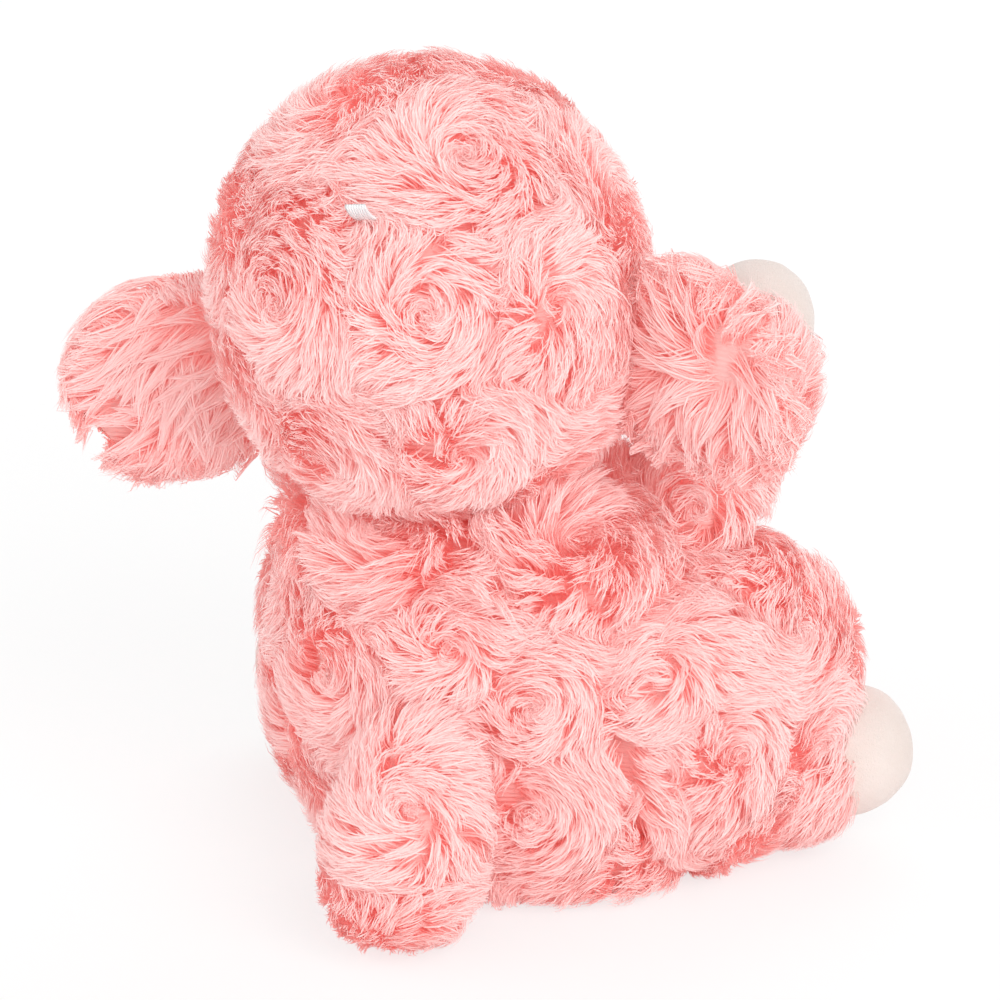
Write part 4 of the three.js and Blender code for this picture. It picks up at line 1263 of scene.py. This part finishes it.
@dataclass(frozen=True)
class HindLeg:
    """Haunch, a round cushion with a flat side against the body, and the lower leg out and ahead of it."""

    side: Side
    torso: Torso
    haunch_radius: float = 49 * MM
    haunch_half: float = 28 * MM
    fullness: float = 2.5
    flat: float = 10 * MM
    face_back: float = 24.0
    hip_angle: float = 16.0
    sink: float = 11 * MM
    shift: float = 4 * MM
    splay: float = 43.0
    lift: float = 8.0
    girth: float = 21 * MM
    cuff: float = 19.5 * MM
    sleeve_length: float = 40 * MM
    backing: float = 5.6 * MM
    hoof: Hoof = Hoof(38 * MM, 40 * MM, 62 * MM)

    def place(self) -> Array:
        """Frame of the hip, with X across the haunch."""
        sign, torso, angle = self.side.value, self.torso, math.radians(self.hip_angle)
        x = sign * math.cos(angle) * (torso.belly - self.sink) - self.shift
        y = -math.sin(angle) * (torso.belly * torso.flatness - self.sink)
        return placed(torso.lean(x, y, self.haunch_radius), turn("z", sign * self.face_back))

    def haunch(self, wall: float) -> Swell:
        """Haunch form with both sides round, drawn in by a wall."""
        size = np.array([self.haunch_radius - wall, self.haunch_half - wall])
        return Swell(arch(self.fullness) * size, self.place() @ placed((0, 0, 0), turn("y", 90)))

    def pressed(self, wall: float) -> Swell:
        """Room of the haunch from its flat side outward, drawn in by a wall."""
        half, middle = (self.haunch_half + self.flat) / 2, (self.haunch_half - self.flat) / 2
        size = np.array([self.haunch_radius - wall, half - wall])
        return Swell(arch(6.0) * size, self.place() @ placed((self.side.value * middle, 0, 0), turn("y", 90)))

    def foot(self) -> Array:
        """Frame of the lower leg, with +Z out along it."""
        out = math.radians(self.splay - self.face_back)
        direction = (self.side.value * math.sin(out), -math.cos(out), math.tan(math.radians(self.lift)))
        return self.place() @ placed((0, 0, self.girth - self.haunch_radius), aim(direction))

    def sleeve(self, wall: float) -> Swell:
        """Lower leg form, drawn in by a wall."""
        return Swell(smooth_outline([
            (0, 0),
            (self.girth - wall, self.sleeve_length * 0.45),
            (self.cuff - wall, self.sleeve_length - 3 * MM),
            (0, self.sleeve_length - wall / 3),
        ]), self.foot())

    def build(self, wardrobe: Wardrobe, around: Sequence[Swell]) -> None:
        """Make the skins, the coats and the hoof."""
        word, sign = self.side.word, self.side.value
        body, place = f"{word}_hind_leg", self.place()
        haunch, sleeve = self.haunch(self.backing), self.sleeve(self.backing)
        corners, quads, tris = haunch.skin(64, 44)
        inner = (corners - place[:3, 3]) @ place[:3, 0] * sign + self.flat - 1 * MM
        corners = corners - np.minimum(inner, 0)[:, None] * sign * place[:3, 0]
        corners[:, 2] = np.maximum(corners[:, 2], 2 * MM)
        skin = build_piece(f"{word}_haunch_skin", corners, quads, tris)
        settle(skin, body, "pink_pile", wardrobe.backing, f"{body}_cover", f"{body}_stuffing")
        lower = round_piece(f"{word}_shank_skin", sleeve, 40, 30)
        settle(lower, body, "pink_pile", wardrobe.backing)
        hoof = self.hoof.form(self.foot())
        others, outward = clear_of(around), place[:3, 0] * sign
        lower_leg = [(self.sleeve(3 * MM), 0.0), (hoof, -1 * MM)]
        outside = Facing(outward, -self.flat, place[:3, 3])
        Coat(haunch, Pile(), 51 + sign, [(0.355, 0.368), (0.215, 0.132)]).grow(
            f"{word}_haunch", body, wardrobe.pile, others + lower_leg, outside)
        inside = Swell(arch(2.0) * np.array([self.haunch_radius - self.backing - 4 * MM, 2 * MM]),
                       place @ placed((-sign * self.flat, 0, 0), turn("y", 90)))
        Coat(inside, Pile(height=4 * MM), 81 + sign).grow(
            f"{word}_haunch_inside", body, wardrobe.pile, others + lower_leg, Facing(-outward, 0.3))
        Coat(sleeve, Pile(height=5.5 * MM), 61 + sign).grow(
            f"{word}_shank", body, wardrobe.pile, others + [(hoof, -1 * MM), (self.haunch(6 * MM), 0.0)])
        self.hoof.build(f"{word}_hind_hoof", self.foot(), body, wardrobe)


@dataclass(frozen=True)
class Tail:
    """Short thick tail that hangs to the ground."""

    torso: Torso
    length: float = 54 * MM
    girth: float = 23 * MM
    root: float = 17 * MM
    height: float = 50 * MM
    shift: float = 3 * MM
    angle: float = 26.0
    backing: float = 5.6 * MM

    def form(self, wall: float) -> Swell:
        """Tail form, drawn in by a wall."""
        angle = math.radians(self.angle)
        place = placed(self.torso.lean(-self.shift, self.torso.belly * self.torso.flatness, self.height),
                       aim((0, math.sin(angle), -math.cos(angle))))
        root = self.root - wall
        curve = smooth_outline([
            (root, 0),
            (self.girth - wall, self.length * 0.45),
            (self.girth * 0.8 - wall, self.length * 0.82 - wall / 2),
            (0, self.length - wall),
        ])
        return Swell(np.vstack([half_ball(root), curve]), place)

    def build(self, wardrobe: Wardrobe, body_form: Swell) -> None:
        """Make the skin and the coat."""
        form = self.form(self.backing)
        skin = settle(round_piece("tail_skin", form, 40, 36), "tail", "pink_pile", wardrobe.backing,
                      "tail_cover", "tail_stuffing")
        Coat(form, Pile(), 71, [(0.69, 0.442)]).grow("tail", "tail", wardrobe.pile, [(body_form, -2 * MM)])


@dataclass(frozen=True)
class Studio:
    """Pale floor, soft light and the camera behind the lamb."""

    azimuth: float = 204.0
    elevation: float = 20.0
    distance: float = 1.2
    target: tuple[float, float, float] = (0.0, 0.0, 0.115)
    target_pixel: tuple[float, float] = (524.0, 456.0)
    pixel: float = 0.278 * MM  # size of a pixel at the target
    image: int = 1000
    sensor: float = 36.0
    bounces: int = 16
    sky_light: float = 0.76  # on the lamb and the floor
    sky_seen: float = 1.0  # to the camera and in reflections
    floor_half: float = 4.0
    floor_gap: float = 0.4 * MM
    floor_glow: float = 0.72  # how far the floor is lifted to white for the camera
    lamps: tuple[tuple[str, tuple[float, float, float], float, float], ...] = (  # name, place, size and power
        ("key", (-1.1, 0.9, 1.0), 1.4, 17.5),
        ("fill", (0.9, 0.8, 0.6), 1.2, 4.8),
        ("front", (0.2, -1.2, 0.9), 1.2, 7.4))

    def build(self) -> None:
        """Set the light, the floor, the world and the camera."""
        scene = bpy.context.scene
        scene.view_settings.view_transform = "Standard"
        scene.cycles.max_bounces = scene.cycles.diffuse_bounces = self.bounces
        self.build_world(scene)
        self.build_floor()
        for lamp in self.lamps:
            self.lamp(*lamp)
        self.build_camera(scene)

    def build_world(self, scene: bpy.types.Scene) -> None:
        """White to the camera and to reflections, and a plain soft light to all else."""
        book = Book("studio", world=True)
        camera, glossy, through = (book.add("ShaderNodeLightPath", {}, {}, f"Is {kind} Ray")
                                   for kind in ("Camera", "Glossy", "Transmission"))
        seen = camera.math("MAXIMUM", glossy.math("MAXIMUM", through))
        levels = {"Value": seen, "To Min": self.sky_light, "To Max": self.sky_seen}
        strength = book.add("ShaderNodeMapRange", {}, levels)
        scene.world = book.finish(book.add("ShaderNodeBackground", {}, {"Strength": strength}))

    def build_floor(self) -> None:
        """Wide white sheet just under the lamb."""
        wide, low = self.floor_half, -self.floor_gap
        corners = np.array([[-wide, -wide, low], [wide, -wide, low], [wide, wide, low], [-wide, wide, low]])
        floor = build_piece("floor", corners, np.array([[0, 1, 2, 3]]), NO_TRIS)
        book = Book("white_floor")
        white = book.add("ShaderNodeBsdfDiffuse", {}, {"Color": (0.95, 0.95, 0.95, 1)})
        glow = book.add("ShaderNodeEmission", {}, {"Color": (1, 1, 1, 1), "Strength": 1.0})
        seen = book.add("ShaderNodeLightPath", {}, {}, "Is Camera Ray")
        mixed = book.add("ShaderNodeMixShader", {}, {0: seen * self.floor_glow, 1: white, 2: glow})
        floor.data.materials.append(book.finish(mixed))

    def lamp(self, name: str, place: Sequence[float], size: float, power: float) -> None:
        """Soft square lamp that faces the lamb."""
        light = bpy.data.lights.new(name, "AREA")
        light.shape, light.size, light.energy = "SQUARE", size, power
        obj = bpy.data.objects.new(name, light)
        toward = np.asarray(self.target) - np.asarray(place)
        obj.matrix_world = placed(place, aim(-toward)).T.tolist()
        bpy.context.scene.collection.objects.link(obj)

    def build_camera(self, scene: bpy.types.Scene) -> None:
        """Camera whose picture puts the target at its pixel, at the size that a pixel has there."""
        a, e = math.radians(self.azimuth), math.radians(self.elevation)
        right = np.array([math.cos(a), math.sin(a), 0])
        ahead = np.array([-math.sin(a) * math.cos(e), math.cos(a) * math.cos(e), -math.sin(e)])
        up = np.cross(right, ahead)
        off = (np.asarray(self.target_pixel) - self.image / 2) * self.pixel
        spot = np.asarray(self.target) - ahead * self.distance - right * off[0] + up * off[1]
        data = bpy.data.cameras.new("camera")
        data.sensor_width = self.sensor
        data.lens = self.sensor * self.distance / (self.image * self.pixel)
        camera = bpy.data.objects.new("camera", data)
        camera.matrix_world = placed(spot, np.column_stack([right, up, -ahead])).T.tolist()
        scene.collection.objects.link(camera)
        scene.camera = camera


def main() -> None:
    """Build the lamb's sub-assemblies in order, then the studio, and note the sizes."""
    logging.basicConfig(level=logging.INFO, format="%(name)s: %(message)s")
    wardrobe = Wardrobe()
    torso, head = Torso(), Head()
    tail = Tail(torso)
    ears = [Ear(side, head) for side in Side]
    fronts = {Side.LEFT: FrontLeg(Side.LEFT, torso, 14.0), Side.RIGHT: FrontLeg(Side.RIGHT, torso, 27.0)}
    hinds = {side: HindLeg(side, torso) for side in Side}
    body_form, skull = torso.form(2 * MM), head.skull(2 * MM)
    sleeves = [leg.sleeve(2 * MM) for leg in fronts.values()]
    haunches = [leg.pressed(2 * MM) for leg in hinds.values()]
    torso.build(wardrobe, [skull, tail.form(3 * MM), *sleeves, *haunches])
    head.build(wardrobe, [body_form, *sleeves])
    for ear in ears:
        ear.build(wardrobe)
    for side in Side:
        fronts[side].build(wardrobe, [body_form, skull, hinds[side].haunch(2 * MM)])
        hinds[side].build(wardrobe, [torso.form(4 * MM)])
    tail.build(wardrobe, body_form)
    Studio().build()


if __name__ == "__main__":
    main()
